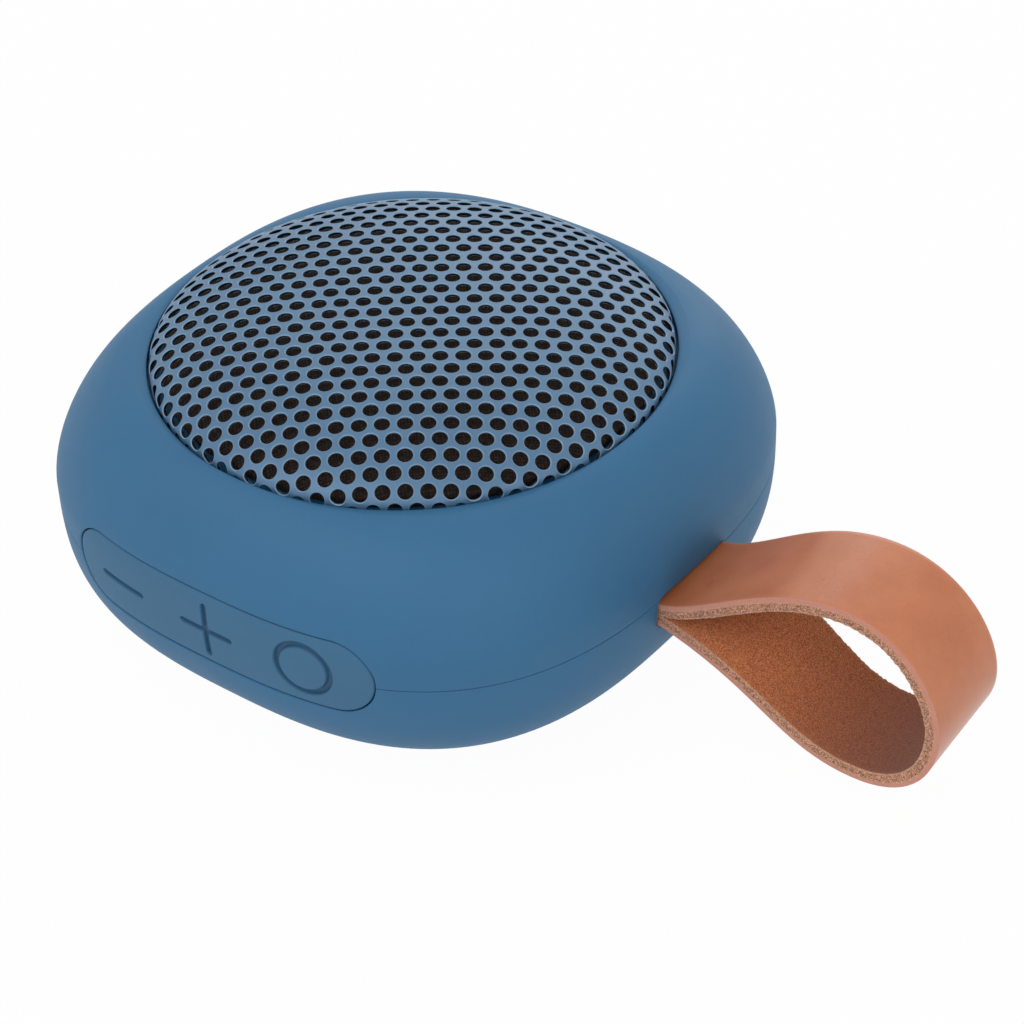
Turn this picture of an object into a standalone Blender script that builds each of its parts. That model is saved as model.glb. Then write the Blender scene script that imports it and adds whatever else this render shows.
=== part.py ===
"""Pocket wireless speaker: a soft-square case with a round domed grille, a strip of
three keys across its front, and a leather carrying loop at its side.

Axes: -Y is the front, with the keys; +X is the side with the loop; +Z is up.
Origin: the middle of the foot pad's underside. All lengths are in metres.
"""
import math

import bmesh
import bpy
from mathutils import Matrix, Vector

# ---------------------------------------------------------------- driving dimensions
HALF_WIDTH = 0.046           # middle of the case to the middle of a side
PLAN_POWER = 2.714           # |x|^p + |y|^p = 1 gives the soft-square plan
RIM_RADIUS = 0.0364          # round grille opening
RIM_HEIGHT = 0.0404
WIDEST_HEIGHT = 0.0249
PARTING_HEIGHT = 0.0212
BASE_HEIGHT = 0.0007         # case underside, above the rest surface
SHOULDER_POWER = 1.534
BELLY_POWER = 3.229
BELLY_FOOT_RADIUS = 0.0092
WALL = 0.0024
GAP = 0.0003                 # between pieces that touch
HAIRLINE = 0.00015           # half of the gap between the two shells
SURFACE_DROP = 0.0001        # keys and strip lie this far inside the case's surface

DOME_RISE = 0.0070           # grille above its rim
DOME_POWER = 2.8
DOME_ROUNDNESS = 0.67
GRILLE_RADIUS = RIM_RADIUS - 0.0004
GRILLE_THICKNESS = 0.0008
BAFFLE_TOP = 0.0385
BAFFLE_UNDER = 0.0367
BAFFLE_RADIUS = 0.0245

STRIP_X = 0.0005
STRIP_Z = 0.0216
STRIP_HALF_LENGTH = 0.0253
STRIP_HALF_HEIGHT = 0.00575
STRIP_FLANGE = 0.0012        # how far the skin's flange reaches past its front
STRIP_SKIN = 0.0008          # thickness of the flange behind the wall
STRIP_SLAB_Y = -0.042        # middle of the slabs the strip is cut from
STRIP_SLAB = 0.014
KEY_SPACING = 0.0158
KEY_RADIUS = 0.0047
KEY_THICKNESS = 0.0015
KEYS = (("key_minus", -KEY_SPACING), ("key_plus", 0.0), ("key_power", KEY_SPACING))
KEY_BOARD_FRONT = -0.0386
KEY_BOARD_BACK = -0.0376
KEY_BOARD_HALF_LENGTH = 0.0230
KEY_BOARD_HALF_HEIGHT = 0.0050
KEY_BOARD_SCREW_X = 0.0208
KEY_BOARD_SCREW_Z = 0.0180
SWITCH_FRONT = -0.0405
SWITCH_HALF_SIZE = 0.0018
STEM_FRONT = -0.0413
STEM_RADIUS = 0.0009
PLUNGER_RADIUS = 0.0016

STRAP_WIDTH = 0.0150
STRAP_THICKNESS = 0.0020
STRAP_Y = 0.0009
STRAP_Z = 0.0184
STRAP_UNDER = STRAP_Z - STRAP_THICKNESS
STRAP_REACH = 0.0875         # outermost point of the loop's centre line
STRAP_TOP = 0.0312
STRAP_BOTTOM = 0.0065
STRAP_SPLIT_X = HALF_WIDTH - 0.0009   # the tails stop here, inside the case's mouth
TAIL_END_X = 0.0290
CLAMP_HALF_WIDTH = 0.0073
CLAMP_SHEET = 0.0012
STRAP_SCREW_X = 0.0330
STRAP_SCREW_SPREAD = 0.0042

FOOT_RADIUS = 0.0243
FOOT_TOP = 0.0014
FLOOR_TOP = 0.0030           # inside floor of the case
CASE_SCREW_OFFSET = 0.0226
CASE_SCREW_SEAT = 0.0038

FRAME_TOP = 0.0357           # driver's frame
FRAME_SHEET = 0.0010
FRAME_RADIUS = 0.0276
DRIVER_SCREW_REACH = 0.0260
COIL_RADIUS = 0.0070
SPIDER_RADIUS = 0.0166
SPIDER_BORE = 0.0078

BOARD_UNDER = 0.0124
BOARD_THICKNESS = 0.0012
BOARD_TOP = BOARD_UNDER + BOARD_THICKNESS
BOARD_POSTS = ((-0.0155, -0.0186), (0.0155, -0.0186), (0.0155, 0.0192), (-0.0155, 0.0192))
BOARD_SCREWS = (0, 2)        # which posts take a screw
LEAD_RADIUS = 0.0006

PORT_Z = 0.0148
PORT_TILT = math.radians(12.8)
PORT_COVER_LENGTH = 0.0150
PORT_COVER_HEIGHT = 0.0074
PORT_COVER_DEPTH = 0.0011

SCREW_EYE = 0.0011           # clearance hole for the small screws
DRIVER_EYE = 0.00105
TAP_RADIUS = 0.0008
POST_RADIUS = 0.0022

CASE_STEPS = 48
ROUND_STEPS = 24
MEDIUM_STEPS = 16
SMALL_STEPS = 10

# ---------------------------------------------------------------- scene and materials
for old in list(bpy.data.objects):
    bpy.data.objects.remove(old, do_unlink=True)

parts = bpy.data.collections.new("pocket_speaker")
cutters = bpy.data.collections.new("cutters")
for group in (parts, cutters):
    bpy.context.scene.collection.children.link(group)


def material(name, colour, roughness, metallic=0.0):
    """A Principled material, made once for each name."""
    made = bpy.data.materials.get(name) or bpy.data.materials.new(name)
    made.use_nodes = True
    shader = made.node_tree.nodes["Principled BSDF"]
    shader.inputs["Base Color"].default_value = (*colour, 1.0)
    shader.inputs["Roughness"].default_value = roughness
    shader.inputs["Metallic"].default_value = metallic
    made.diffuse_color = (*colour, 1.0)
    return made


CASE_BLUE = material("case_blue", (0.045, 0.150, 0.300), 0.60)
STRIP_BLUE = material("strip_blue", (0.060, 0.160, 0.290), 0.65)
GRILLE_BLUE = material("grille_blue", (0.130, 0.220, 0.370), 0.40, 0.3)
LEATHER = material("leather_tan", (0.480, 0.210, 0.110), 0.45)
CLOTH = material("cloth_black", (0.015, 0.012, 0.010), 0.95)
RUBBER = material("rubber_black", (0.020, 0.020, 0.022), 0.80)
STEEL = material("steel", (0.55, 0.56, 0.58), 0.35, 1.0)
SCREW_STEEL = material("screw_black", (0.05, 0.05, 0.055), 0.40, 0.9)
FERRITE = material("ferrite", (0.035, 0.035, 0.038), 0.60)
PAPER = material("cone_paper", (0.020, 0.020, 0.022), 0.85)
COPPER = material("copper", (0.70, 0.30, 0.16), 0.35, 1.0)
BOARD_GREEN = material("board_green", (0.010, 0.110, 0.060), 0.45)
SILVER_FOIL = material("cell_wrap", (0.55, 0.56, 0.58), 0.35, 0.6)
BLACK_PLASTIC = material("plastic_black", (0.020, 0.020, 0.021), 0.50)
FOAM = material("foam_black", (0.03, 0.03, 0.03), 0.95)
SLEEVE_RED = material("lead_red", (0.45, 0.03, 0.02), 0.50)
SPIDER_TAN = material("spider_tan", (0.45, 0.33, 0.15), 0.85)


# ---------------------------------------------------------------- modelling helpers
def place(obj, surface=None):
    """Put an object with the parts if it has a material, or else with the cutters."""
    if surface:
        parts.objects.link(obj)
        obj.data.materials.clear()
        obj.data.materials.append(surface)
    else:
        cutters.objects.link(obj)
        obj.hide_render = True
        obj.display_type = "WIRE"
    return obj


def smooth(obj, angle=35.0):
    obj.data.shade_smooth()
    obj.data.set_sharp_from_angle(angle=math.radians(angle))
    return obj


def add_mesh(name, shape, surface=None):
    """An object from a bmesh, which is freed."""
    data = bpy.data.meshes.new(name)
    shape.to_mesh(data)
    shape.free()
    return place(bpy.data.objects.new(name, data), surface)


def evaluated_copy(obj):
    """A plain mesh of the object as its modifiers leave it; the object is removed."""
    bpy.context.view_layer.update()
    seen = obj.evaluated_get(bpy.context.evaluated_depsgraph_get())
    data = bpy.data.meshes.new_from_object(seen)
    data.name = obj.name
    turn = obj.matrix_world.copy()
    bpy.data.objects.remove(obj, do_unlink=True)
    shape = bmesh.new()
    shape.from_mesh(data)
    bmesh.ops.remove_doubles(shape, verts=shape.verts, dist=1e-7)
    shape.to_mesh(data)
    shape.free()
    return data, turn


def turned(name, rows, surface=None, steps=ROUND_STEPS, closed=False, centre=(0, 0)):
    """Turn a profile of (radius, height) about a vertical axis.

    The rows run down the outer side. An open profile starts and ends on the axis.
    """
    data = bpy.data.meshes.new(name)
    edges = [(i, i + 1) for i in range(len(rows) - 1)]
    if closed:
        edges.append((len(rows) - 1, 0))
    data.from_pydata([(r, 0.0, z) for r, z in rows], edges, [])
    obj = place(bpy.data.objects.new(name, data), surface)
    obj.location = (*centre, 0.0)
    screw = obj.modifiers.new("turn", "SCREW")
    screw.axis = "Z"
    screw.steps = screw.render_steps = steps
    screw.use_merge_vertices = True
    screw.merge_threshold = 1e-6
    return obj


def box(name, low, high, surface=None, bevel=0.0):
    """A box between two corners, with its edges eased where a bevel is given."""
    low, high = Vector(low), Vector(high)
    shape = bmesh.new()
    bmesh.ops.create_cube(shape, size=1.0)
    bmesh.ops.scale(shape, vec=high - low, verts=shape.verts)
    obj = add_mesh(name, shape, surface)
    obj.location = (low + high) / 2
    if bevel:
        ease = obj.modifiers.new("ease", "BEVEL")
        ease.width = bevel
        ease.segments = 2
    return obj


def rod(name, radius, start, end, surface=None, steps=ROUND_STEPS):
    """A cylinder from one point to another."""
    start, end = Vector(start), Vector(end)
    shape = bmesh.new()
    bmesh.ops.create_cone(shape, cap_ends=True, segments=steps, radius1=radius,
                          radius2=radius, depth=(end - start).length)
    obj = add_mesh(name, shape, surface)
    obj.rotation_mode = "QUATERNION"
    obj.rotation_quaternion = (end - start).to_track_quat("Z", "Y")
    obj.location = (start + end) / 2
    return obj


def slab(name, outline, thickness, turn, surface=None):
    """A flat outline in its own XY plane, thickened both ways and turned into place."""
    curve = bpy.data.curves.new(name, "CURVE")
    curve.dimensions = "2D"
    curve.fill_mode = "BOTH"
    curve.extrude = thickness / 2
    spline = curve.splines.new("POLY")
    spline.points.add(len(outline) - 1)
    for point, (x, y) in zip(spline.points, outline):
        point.co = (x, y, 0.0, 1.0)
    spline.use_cyclic_u = True
    guide = bpy.data.objects.new(name, curve)
    cutters.objects.link(guide)
    guide.matrix_world = turn
    data, turn = evaluated_copy(guide)
    obj = place(bpy.data.objects.new(name, data), surface)
    obj.matrix_world = turn
    return obj


def wire(name, route, radius, surface):
    """A lead along a smooth route through a few hand-placed points."""
    curve = bpy.data.curves.new(name, "CURVE")
    curve.dimensions = "3D"
    curve.bevel_depth = radius
    curve.bevel_resolution = 2
    curve.use_fill_caps = True
    ends = [route[0], *route, route[-1]]
    points = []
    for a, b, c, d in zip(ends, ends[1:], ends[2:], ends[3:]):
        a, b, c, d = (Vector(p) for p in (a, b, c, d))
        for step in range(3):
            t = step / 3
            points.append(0.5 * (2 * b + (c - a) * t + (2 * a - 5 * b + 4 * c - d) * t * t
                                 + (3 * b - a - 3 * c + d) * t ** 3))
    points.append(Vector(route[-1]))
    spline = curve.splines.new("POLY")
    spline.points.add(len(points) - 1)
    for point, place_at in zip(spline.points, points):
        point.co = (*place_at, 1.0)
    guide = bpy.data.objects.new(name, curve)
    cutters.objects.link(guide)
    data, turn = evaluated_copy(guide)
    return smooth(place(bpy.data.objects.new(name, data), surface))


def combine(obj, other, operation):
    step = obj.modifiers.new(operation.lower(), "BOOLEAN")
    step.operation = operation
    step.solver = "EXACT"
    step.object = other
    return obj


def cut(obj, *others):
    for other in others:
        combine(obj, other, "DIFFERENCE")
    return obj


def join(obj, *others):
    for other in others:
        combine(obj, other, "UNION")
    return obj


def stadium(half_length, half_height, arc_steps=10):
    """A long outline with round ends."""
    straight = half_length - half_height
    points = []
    for side in (1, -1):
        for k in range(arc_steps + 1):
            angle = side * math.pi / 2 - math.pi * k / arc_steps
            points.append((side * straight + half_height * math.cos(angle),
                           half_height * math.sin(angle)))
    return points


def facing_front(x, y, z):
    """Stand an outline up so that it faces -Y: its x runs along X and its y along Z."""
    return Matrix.Translation((x, y, z)) @ Matrix.Rotation(math.pi / 2, 4, "X")


# ---------------------------------------------------------------- the case's form
def case_fraction(z):
    """How far the side has swelled out at a height, and how square it is there."""
    if z >= WIDEST_HEIGHT:
        t = min((z - WIDEST_HEIGHT) / (RIM_HEIGHT - WIDEST_HEIGHT), 1.0)
        swell = (1 - t ** SHOULDER_POWER) ** (1 / SHOULDER_POWER)
        return swell, swell ** 0.30
    t = (WIDEST_HEIGHT - z) / WIDEST_HEIGHT
    swell = (1 - t ** BELLY_POWER) ** (1 / BELLY_POWER)
    return swell, swell ** 0.73


def case_radius(z):
    """Distance from the axis to the middle of a side at a height."""
    inner = RIM_RADIUS if z >= WIDEST_HEIGHT else BELLY_FOOT_RADIUS
    return inner + (HALF_WIDTH - inner) * case_fraction(z)[0]


def corner_swell(angle):
    """How much further out than a circle the soft-square plan is, for a half width of 1."""
    reach = abs(math.cos(angle)) ** PLAN_POWER + abs(math.sin(angle)) ** PLAN_POWER
    return reach ** (-1 / PLAN_POWER) - 1


def squared(obj, beyond):
    """Move a turned shell's points out to the soft-square plan, outside a radius."""
    surface = obj.data.materials[0] if obj.data.materials else None
    name = obj.name
    data, turn = evaluated_copy(obj)
    for vertex in data.vertices:
        x, y, z = vertex.co
        radius = math.hypot(x, y)
        if radius > beyond:
            share = case_fraction(min(max(z, BASE_HEIGHT), RIM_HEIGHT))[1]
            push = 1 + HALF_WIDTH * corner_swell(math.atan2(y, x)) * share / radius
            vertex.co = (x * push, y * push, z)
    return place(bpy.data.objects.new(name, data), surface)


def case_row(z, inset=0.0):
    """A profile point on the case's side, or the inset distance inside it."""
    if not inset:
        return case_radius(z), z
    step = 0.0001
    rise = Vector((case_radius(z + step) - case_radius(z - step), 2 * step)).normalized()
    return case_radius(z) - rise.y * inset, z + rise.x * inset


def shoulder_height(angle):
    return WIDEST_HEIGHT + (RIM_HEIGHT - WIDEST_HEIGHT) * (
        math.sin(math.radians(angle)) ** (2 / SHOULDER_POWER))


def belly_height(share):
    """Heights from the parting line, at 0, down to the underside, at 1."""
    return BASE_HEIGHT + (PARTING_HEIGHT - BASE_HEIGHT) * (1 - math.sin(math.pi / 2 * share))


def upper_housing():
    outside = [case_row(shoulder_height(angle)) for angle in (90, 78, 63, 48, 33, 17, 0)]
    seam = PARTING_HEIGHT + HAIRLINE
    rebate = PARTING_HEIGHT + 0.0012
    edge = case_radius(seam)
    seam_rows = [(edge, seam), (edge - WALL / 2, seam), (edge - WALL / 2, rebate),
                 (edge - WALL, rebate)]
    inside = [case_row(shoulder_height(angle), WALL) for angle in (12, 29, 46, 62)]
    corner = inside[-1]
    baffle = [(corner[0] - 0.0012, BAFFLE_UNDER), (BAFFLE_RADIUS, BAFFLE_UNDER),
              (BAFFLE_RADIUS, BAFFLE_TOP), (RIM_RADIUS, BAFFLE_TOP)]
    rows = outside + seam_rows + inside + baffle
    shell = turned("upper_housing", rows, CASE_BLUE, CASE_STEPS, closed=True)
    shell = squared(shell, beyond=RIM_RADIUS + 1e-5)
    for name, x, y in case_screw_places():
        post = rod("post_" + name, 0.0030, (x, y, 0.0092), (x, y, BAFFLE_UNDER + 0.0008),
                   steps=MEDIUM_STEPS)
        pilot = rod("pilot_" + name, 0.0012, (x, y, 0.0080), (x, y, 0.0200), steps=SMALL_STEPS)
        join(shell, post)
        cut(shell, pilot)
    for name, x, y in driver_screw_places():
        cut(shell, rod("baffle_" + name, DRIVER_EYE, (x, y, 0.0355), (x, y, 0.0380),
                       steps=SMALL_STEPS))
    cut(shell, strip_opening)
    return smooth(shell, 30)


def lower_housing():
    seam = PARTING_HEIGHT - HAIRLINE
    rebate = PARTING_HEIGHT - 0.0012
    edge = case_radius(seam)
    rows = 7
    outside = [case_row(belly_height(k / rows)) for k in range(1, rows + 1)]
    inside = [case_row(belly_height(k / rows), WALL) for k in range(rows - 2, 0, -1)]
    floor_edge = (inside[0][0] - 0.0026, FLOOR_TOP)
    rows = [(0.0, FLOOR_TOP), floor_edge, *inside, (edge - WALL, rebate),
            (edge - WALL / 2, rebate), (edge - WALL / 2, seam), (edge, seam), *outside,
            (FOOT_RADIUS + GAP, BASE_HEIGHT), (FOOT_RADIUS + GAP, FOOT_TOP + GAP),
            (0.0, FOOT_TOP + GAP)]
    shell = turned("lower_housing", rows, CASE_BLUE, CASE_STEPS)
    shell = squared(shell, beyond=FOOT_RADIUS + 0.0005)
    for name, x, y in case_screw_places():
        join(shell, rod("boss_" + name, 0.0042, (x, y, 0.0024), (x, y, 0.0089),
                        steps=MEDIUM_STEPS))
        cut(shell, rod("well_" + name, 0.0030, (x, y, -0.0010), (x, y, CASE_SCREW_SEAT),
                       steps=MEDIUM_STEPS),
            rod("through_" + name, 0.0014, (x, y, 0.0030), (x, y, 0.0100), steps=SMALL_STEPS))
    for name, x, y in strap_screw_places():
        join(shell, rod("pillar_" + name, POST_RADIUS, (x, y, 0.0031),
                        (x, y, STRAP_UNDER - GAP), steps=MEDIUM_STEPS))
        cut(shell, rod("tap_" + name, TAP_RADIUS, (x, y, 0.0090), (x, y, 0.0170),
                       steps=SMALL_STEPS))
    for k, (x, y) in enumerate(BOARD_POSTS):
        join(shell, rod(f"stand_{k}", POST_RADIUS, (x, y, FLOOR_TOP - 0.0006),
                        (x, y, BOARD_UNDER - GAP), steps=MEDIUM_STEPS))
        if k in BOARD_SCREWS:
            cut(shell, rod(f"stand_tap_{k}", TAP_RADIUS, (x, y, 0.0070), (x, y, 0.0130),
                           steps=SMALL_STEPS))
    for side in (-1, 1):
        x = side * KEY_BOARD_SCREW_X
        join(shell, box(f"key_rib_{side}", (x - 0.0020, KEY_BOARD_BACK + GAP, 0.0066),
                        (x + 0.0020, KEY_BOARD_BACK + 0.0040, 0.0198)))
        cut(shell, rod(f"key_rib_tap_{side}", TAP_RADIUS,
                       (x, KEY_BOARD_BACK, KEY_BOARD_SCREW_Z),
                       (x, KEY_BOARD_BACK + 0.0032, KEY_BOARD_SCREW_Z), steps=SMALL_STEPS))
    half = STRAP_WIDTH / 2 + GAP
    cut(shell, strip_opening,
        box("strap_notch", (0.0400, STRAP_Y - half, STRAP_UNDER - GAP),
            (0.0500, STRAP_Y + half, PARTING_HEIGHT + 0.0020)),
        port_slab("port_recess", PORT_COVER_LENGTH / 2 + GAP, PORT_COVER_HEIGHT / 2 + GAP,
                  -PORT_COVER_DEPTH - GAP, 0.0060),
        box("port_hole", (-0.0048, 0.0400, PORT_Z - 0.0021), (0.0048, 0.0470, PORT_Z + 0.0021)))
    return smooth(shell, 30)


def housing_seal():
    """The gasket that lies in the rebates of both shells, open where the key strip is."""
    edge = case_radius(PARTING_HEIGHT)
    low, high = PARTING_HEIGHT - 0.00045, PARTING_HEIGHT + 0.00045
    outer, inner = edge - WALL / 2 - GAP, edge - WALL
    seal = turned("housing_seal", [(outer, high), (outer, low), (inner, low), (inner, high)],
                  RUBBER, CASE_STEPS, closed=True)
    seal = squared(seal, beyond=0.0)
    return cut(seal, strip_slab("seal_gap", STRIP_FLANGE + 0.0010))


def foot_pad():
    rows = [(0.0, FOOT_TOP), (FOOT_RADIUS, FOOT_TOP), (FOOT_RADIUS, 0.0004),
            (FOOT_RADIUS - 0.0004, 0.0), (0.0, 0.0)]
    return smooth(turned("foot_pad", rows, RUBBER, 36))


# ---------------------------------------------------------------- grille
def dome_height(radius, reach):
    return DOME_RISE * (1 - min(radius / reach, 1.0) ** DOME_POWER) ** DOME_ROUNDNESS


def dome(name, inset, thickness, foot, surface, steps, rows):
    """A domed shell whose edge turns straight down to its foot."""
    def side(depth):
        reach = GRILLE_RADIUS - depth
        shares = [math.sin(math.pi / 2 * k / rows) for k in range(rows + 1)]
        return [(share * reach, RIM_HEIGHT - depth + dome_height(share, 1.0))
                for share in shares]
    outer = side(inset) + [(GRILLE_RADIUS - inset, foot)]
    inner = side(inset + thickness) + [(GRILLE_RADIUS - inset - thickness, foot)]
    return smooth(turned(name, outer + inner[::-1], surface, steps))


# ---------------------------------------------------------------- key strip
def front_reach(x):
    """How far forward the case's front comes at a distance from its middle."""
    edge = case_radius(PARTING_HEIGHT)
    return edge * (1 - (abs(x) / edge) ** PLAN_POWER) ** (1 / PLAN_POWER)


def barrel(name, inset):
    """The case's middle as a solid, shrunk by an inset, to shape the pieces let into it."""
    heights = [0.0300 - 0.0022 * k for k in range(9)]
    side = [(case_radius(z) - inset, z) for z in heights]
    rows = [(0.0, heights[0]), *side, (0.0, heights[-1])]
    return squared(turned(name, rows, None, CASE_STEPS), beyond=0.001)


def strip_slab(name, beyond, surface=None):
    """A stadium slab standing at the strip's place, larger than the strip by a margin."""
    outline = stadium(STRIP_HALF_LENGTH + beyond, STRIP_HALF_HEIGHT + beyond)
    return slab(name, outline, STRIP_SLAB, facing_front(STRIP_X, STRIP_SLAB_Y, STRIP_Z), surface)


strip_opening = strip_slab("strip_opening", GAP)


def button_strip():
    """The silicone skin round the keys, with a flange that holds it behind the wall."""
    strip = strip_slab("button_strip", 0.0, STRIP_BLUE)
    combine(strip, barrel("strip_front", SURFACE_DROP), "INTERSECT")
    flange = strip_slab("strip_flange", STRIP_FLANGE)
    combine(flange, barrel("flange_front", WALL + GAP), "INTERSECT")
    join(strip, flange)
    cut(strip, barrel("strip_back", WALL + GAP + STRIP_SKIN))
    for name, x in KEYS:
        cut(strip, rod("opening_" + name, KEY_RADIUS + GAP, (x, -0.050, STRIP_Z),
                       (x, -0.034, STRIP_Z)))
    return strip


def key(name, x):
    """A round pad in the strip's skin, with a plunger behind it."""
    pad = rod(name, KEY_RADIUS, (x, -0.050, STRIP_Z), (x, -0.036, STRIP_Z), STRIP_BLUE)
    combine(pad, barrel("front_" + name, SURFACE_DROP), "INTERSECT")
    cut(pad, barrel("back_" + name, KEY_THICKNESS))
    middle = KEY_THICKNESS / 2 - front_reach(x)
    join(pad, rod("plunger_" + name, PLUNGER_RADIUS, (x, middle, STRIP_Z),
                  (x, STEM_FRONT - GAP, STRIP_Z), steps=MEDIUM_STEPS))
    return smooth(pad)


def switch(name, x):
    """A tactile switch under a key, with its stem as a piece of its own."""
    half = SWITCH_HALF_SIZE
    box("switch_" + name, (x - half, SWITCH_FRONT, STRIP_Z - half),
        (x + half, KEY_BOARD_FRONT - GAP, STRIP_Z + half), BLACK_PLASTIC, bevel=0.0002)
    smooth(rod("switch_stem_" + name, STEM_RADIUS, (x, STEM_FRONT, STRIP_Z),
               (x, SWITCH_FRONT - GAP, STRIP_Z), COPPER, steps=MEDIUM_STEPS))


def button_board():
    half_length, half_height = KEY_BOARD_HALF_LENGTH, KEY_BOARD_HALF_HEIGHT
    board = box("button_board", (-half_length, KEY_BOARD_FRONT, STRIP_Z - half_height),
                (half_length, KEY_BOARD_BACK, STRIP_Z + half_height), BOARD_GREEN)
    for side in (-1, 1):
        x = side * KEY_BOARD_SCREW_X
        cut(board, rod(f"board_eye_{side}", SCREW_EYE, (x, -0.040, KEY_BOARD_SCREW_Z),
                       (x, -0.036, KEY_BOARD_SCREW_Z), steps=SMALL_STEPS))
        screw("button_board_screw_" + ("left" if side < 0 else "right"),
              (x, KEY_BOARD_FRONT - GAP, KEY_BOARD_SCREW_Z), (0, 1, 0), 0.0014, 0.0006,
              0.0005, 0.0034)
    return board


# ---------------------------------------------------------------- fasteners
def screw(name, seat, direction, head_radius, head_height, shank_radius, length):
    """A pan-head screw: its head rests on the seat and its shank runs on past it."""
    rows = [(0.0, head_height), (head_radius * 0.7, head_height), (head_radius, 0.0),
            (shank_radius, 0.0), (shank_radius, -length), (0.0, -length - shank_radius * 0.6)]
    obj = turned(name, rows, SCREW_STEEL, SMALL_STEPS)
    obj.rotation_mode = "QUATERNION"
    obj.rotation_quaternion = (-Vector(direction)).to_track_quat("Z", "Y")
    obj.location = seat
    return smooth(obj)


def case_screw_places():
    reach = CASE_SCREW_OFFSET
    return (("front_left", -reach, -reach), ("front_right", reach, -reach),
            ("rear_left", -reach, reach), ("rear_right", reach, reach))


def driver_screw_places():
    reach = DRIVER_SCREW_REACH
    return (("front", 0.0, -reach), ("right", reach, 0.0), ("rear", 0.0, reach),
            ("left", -reach, 0.0))


def strap_screw_places():
    spread = STRAP_SCREW_SPREAD
    return (("front", STRAP_SCREW_X, STRAP_Y - spread),
            ("rear", STRAP_SCREW_X, STRAP_Y + spread))


# ---------------------------------------------------------------- carrying loop
def bezier(start, lead_out, lead_in, end, count):
    start, lead_out, lead_in, end = (Vector(p) for p in (start, lead_out, lead_in, end))
    points = []
    for k in range(count):
        t = k / count
        points.append((1 - t) ** 3 * start + 3 * (1 - t) ** 2 * t * lead_out
                      + 3 * (1 - t) * t * t * lead_in + t ** 3 * end)
    return points


def loop_centre_line():
    """The bent leather's middle, from the upper root round to the lower root."""
    half = STRAP_THICKNESS / 2 + GAP / 2
    x, z = HALF_WIDTH, STRAP_Z
    top = (0.0737, STRAP_TOP)
    tip = (STRAP_REACH, 0.0185)
    bottom = (0.0764, STRAP_BOTTOM)
    upper_root, lower_root = (x, z + half), (x, z - half)
    line = bezier(upper_root, (x + 0.0073, z + half + 0.0010), (0.0620, top[1]), top, 9)
    line += bezier(top, (0.0826, top[1]), (tip[0], tip[1] + 0.0042), tip, 8)
    line += bezier(tip, (tip[0], tip[1] - 0.0069), (bottom[0] + 0.0072, bottom[1]), bottom, 8)
    line += bezier(bottom, (bottom[0] - 0.0111, bottom[1]), (x + 0.0157, z - half - 0.0027),
                   lower_root, 9)
    return line + [Vector(lower_root)]


def strap_loop():
    line = loop_centre_line()
    outside, inside = [], []
    for k, point in enumerate(line):
        run = line[min(k + 1, len(line) - 1)] - line[max(k - 1, 0)]
        if k in (0, len(line) - 1):
            run = Vector((run.x, 0.0))
        across = Vector((-run.y, run.x)).normalized() * STRAP_THICKNESS / 2
        outside.append(point + across)
        inside.append(point - across)
    turn = Matrix.Translation((0.0, STRAP_Y, 0.0)) @ Matrix.Rotation(math.pi / 2, 4, "X")
    loop = slab("strap_loop", outside + inside[::-1], STRAP_WIDTH, turn, LEATHER)
    return smooth(loop)


def strap_tail(name, middle_z):
    low = (TAIL_END_X, STRAP_Y - STRAP_WIDTH / 2, middle_z - STRAP_THICKNESS / 2)
    high = (STRAP_SPLIT_X, STRAP_Y + STRAP_WIDTH / 2, middle_z + STRAP_THICKNESS / 2)
    tail = box(name, low, high, LEATHER)
    for place_name, x, y in strap_screw_places():
        cut(tail, rod(f"{name}_{place_name}", SCREW_EYE, (x, y, 0.0150), (x, y, 0.0220),
                      steps=SMALL_STEPS))
    return tail


def strap_clamp():
    top = STRAP_Z + STRAP_THICKNESS + GAP / 2 + GAP
    clamp = box("strap_clamp", (0.0300, STRAP_Y - CLAMP_HALF_WIDTH, top),
                (0.0378, STRAP_Y + CLAMP_HALF_WIDTH, top + CLAMP_SHEET), STEEL, bevel=0.0003)
    for name, x, y in strap_screw_places():
        cut(clamp, rod("clamp_" + name, SCREW_EYE, (x, y, 0.0190), (x, y, 0.0240),
                       steps=SMALL_STEPS))
        screw("strap_screw_" + name, (x, y, top + CLAMP_SHEET + GAP), (0, 0, -1), 0.0017, 0.0009,
              0.0006, 0.0090)
    return clamp


# ---------------------------------------------------------------- loudspeaker driver
def driver_basket():
    rows = [(0.0242, FRAME_TOP), (FRAME_RADIUS, FRAME_TOP),
            (FRAME_RADIUS, FRAME_TOP - FRAME_SHEET), (0.0236, FRAME_TOP - FRAME_SHEET),
            (0.0178, 0.0270), (0.0172, 0.0249), (0.0102, 0.0249),
            (0.0102, 0.0259), (0.0148, 0.0259), (0.0148, 0.0270), (0.0168, 0.0270),
            (0.0226, FRAME_TOP - 0.0003), (0.0242, FRAME_TOP - 0.0003)]
    basket = turned("driver_basket", rows, STEEL, ROUND_STEPS, closed=True)
    for k, angle in enumerate((math.pi / 4, -math.pi / 4)):
        window = box(f"basket_window_{k}", (-0.0300, -0.0062, 0.0278), (0.0300, 0.0062, 0.0338))
        window.rotation_euler.z = angle
        cut(basket, window)
    for name, x, y in driver_screw_places():
        cut(basket, rod("frame_" + name, DRIVER_EYE, (x, y, 0.034), (x, y, 0.037),
                        steps=SMALL_STEPS))
        screw("driver_screw_" + name, (x, y, FRAME_TOP - FRAME_SHEET - GAP), (0, 0, 1), 0.0014,
              0.0009, 0.00075, 0.0032)
    return smooth(basket, 25)


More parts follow.
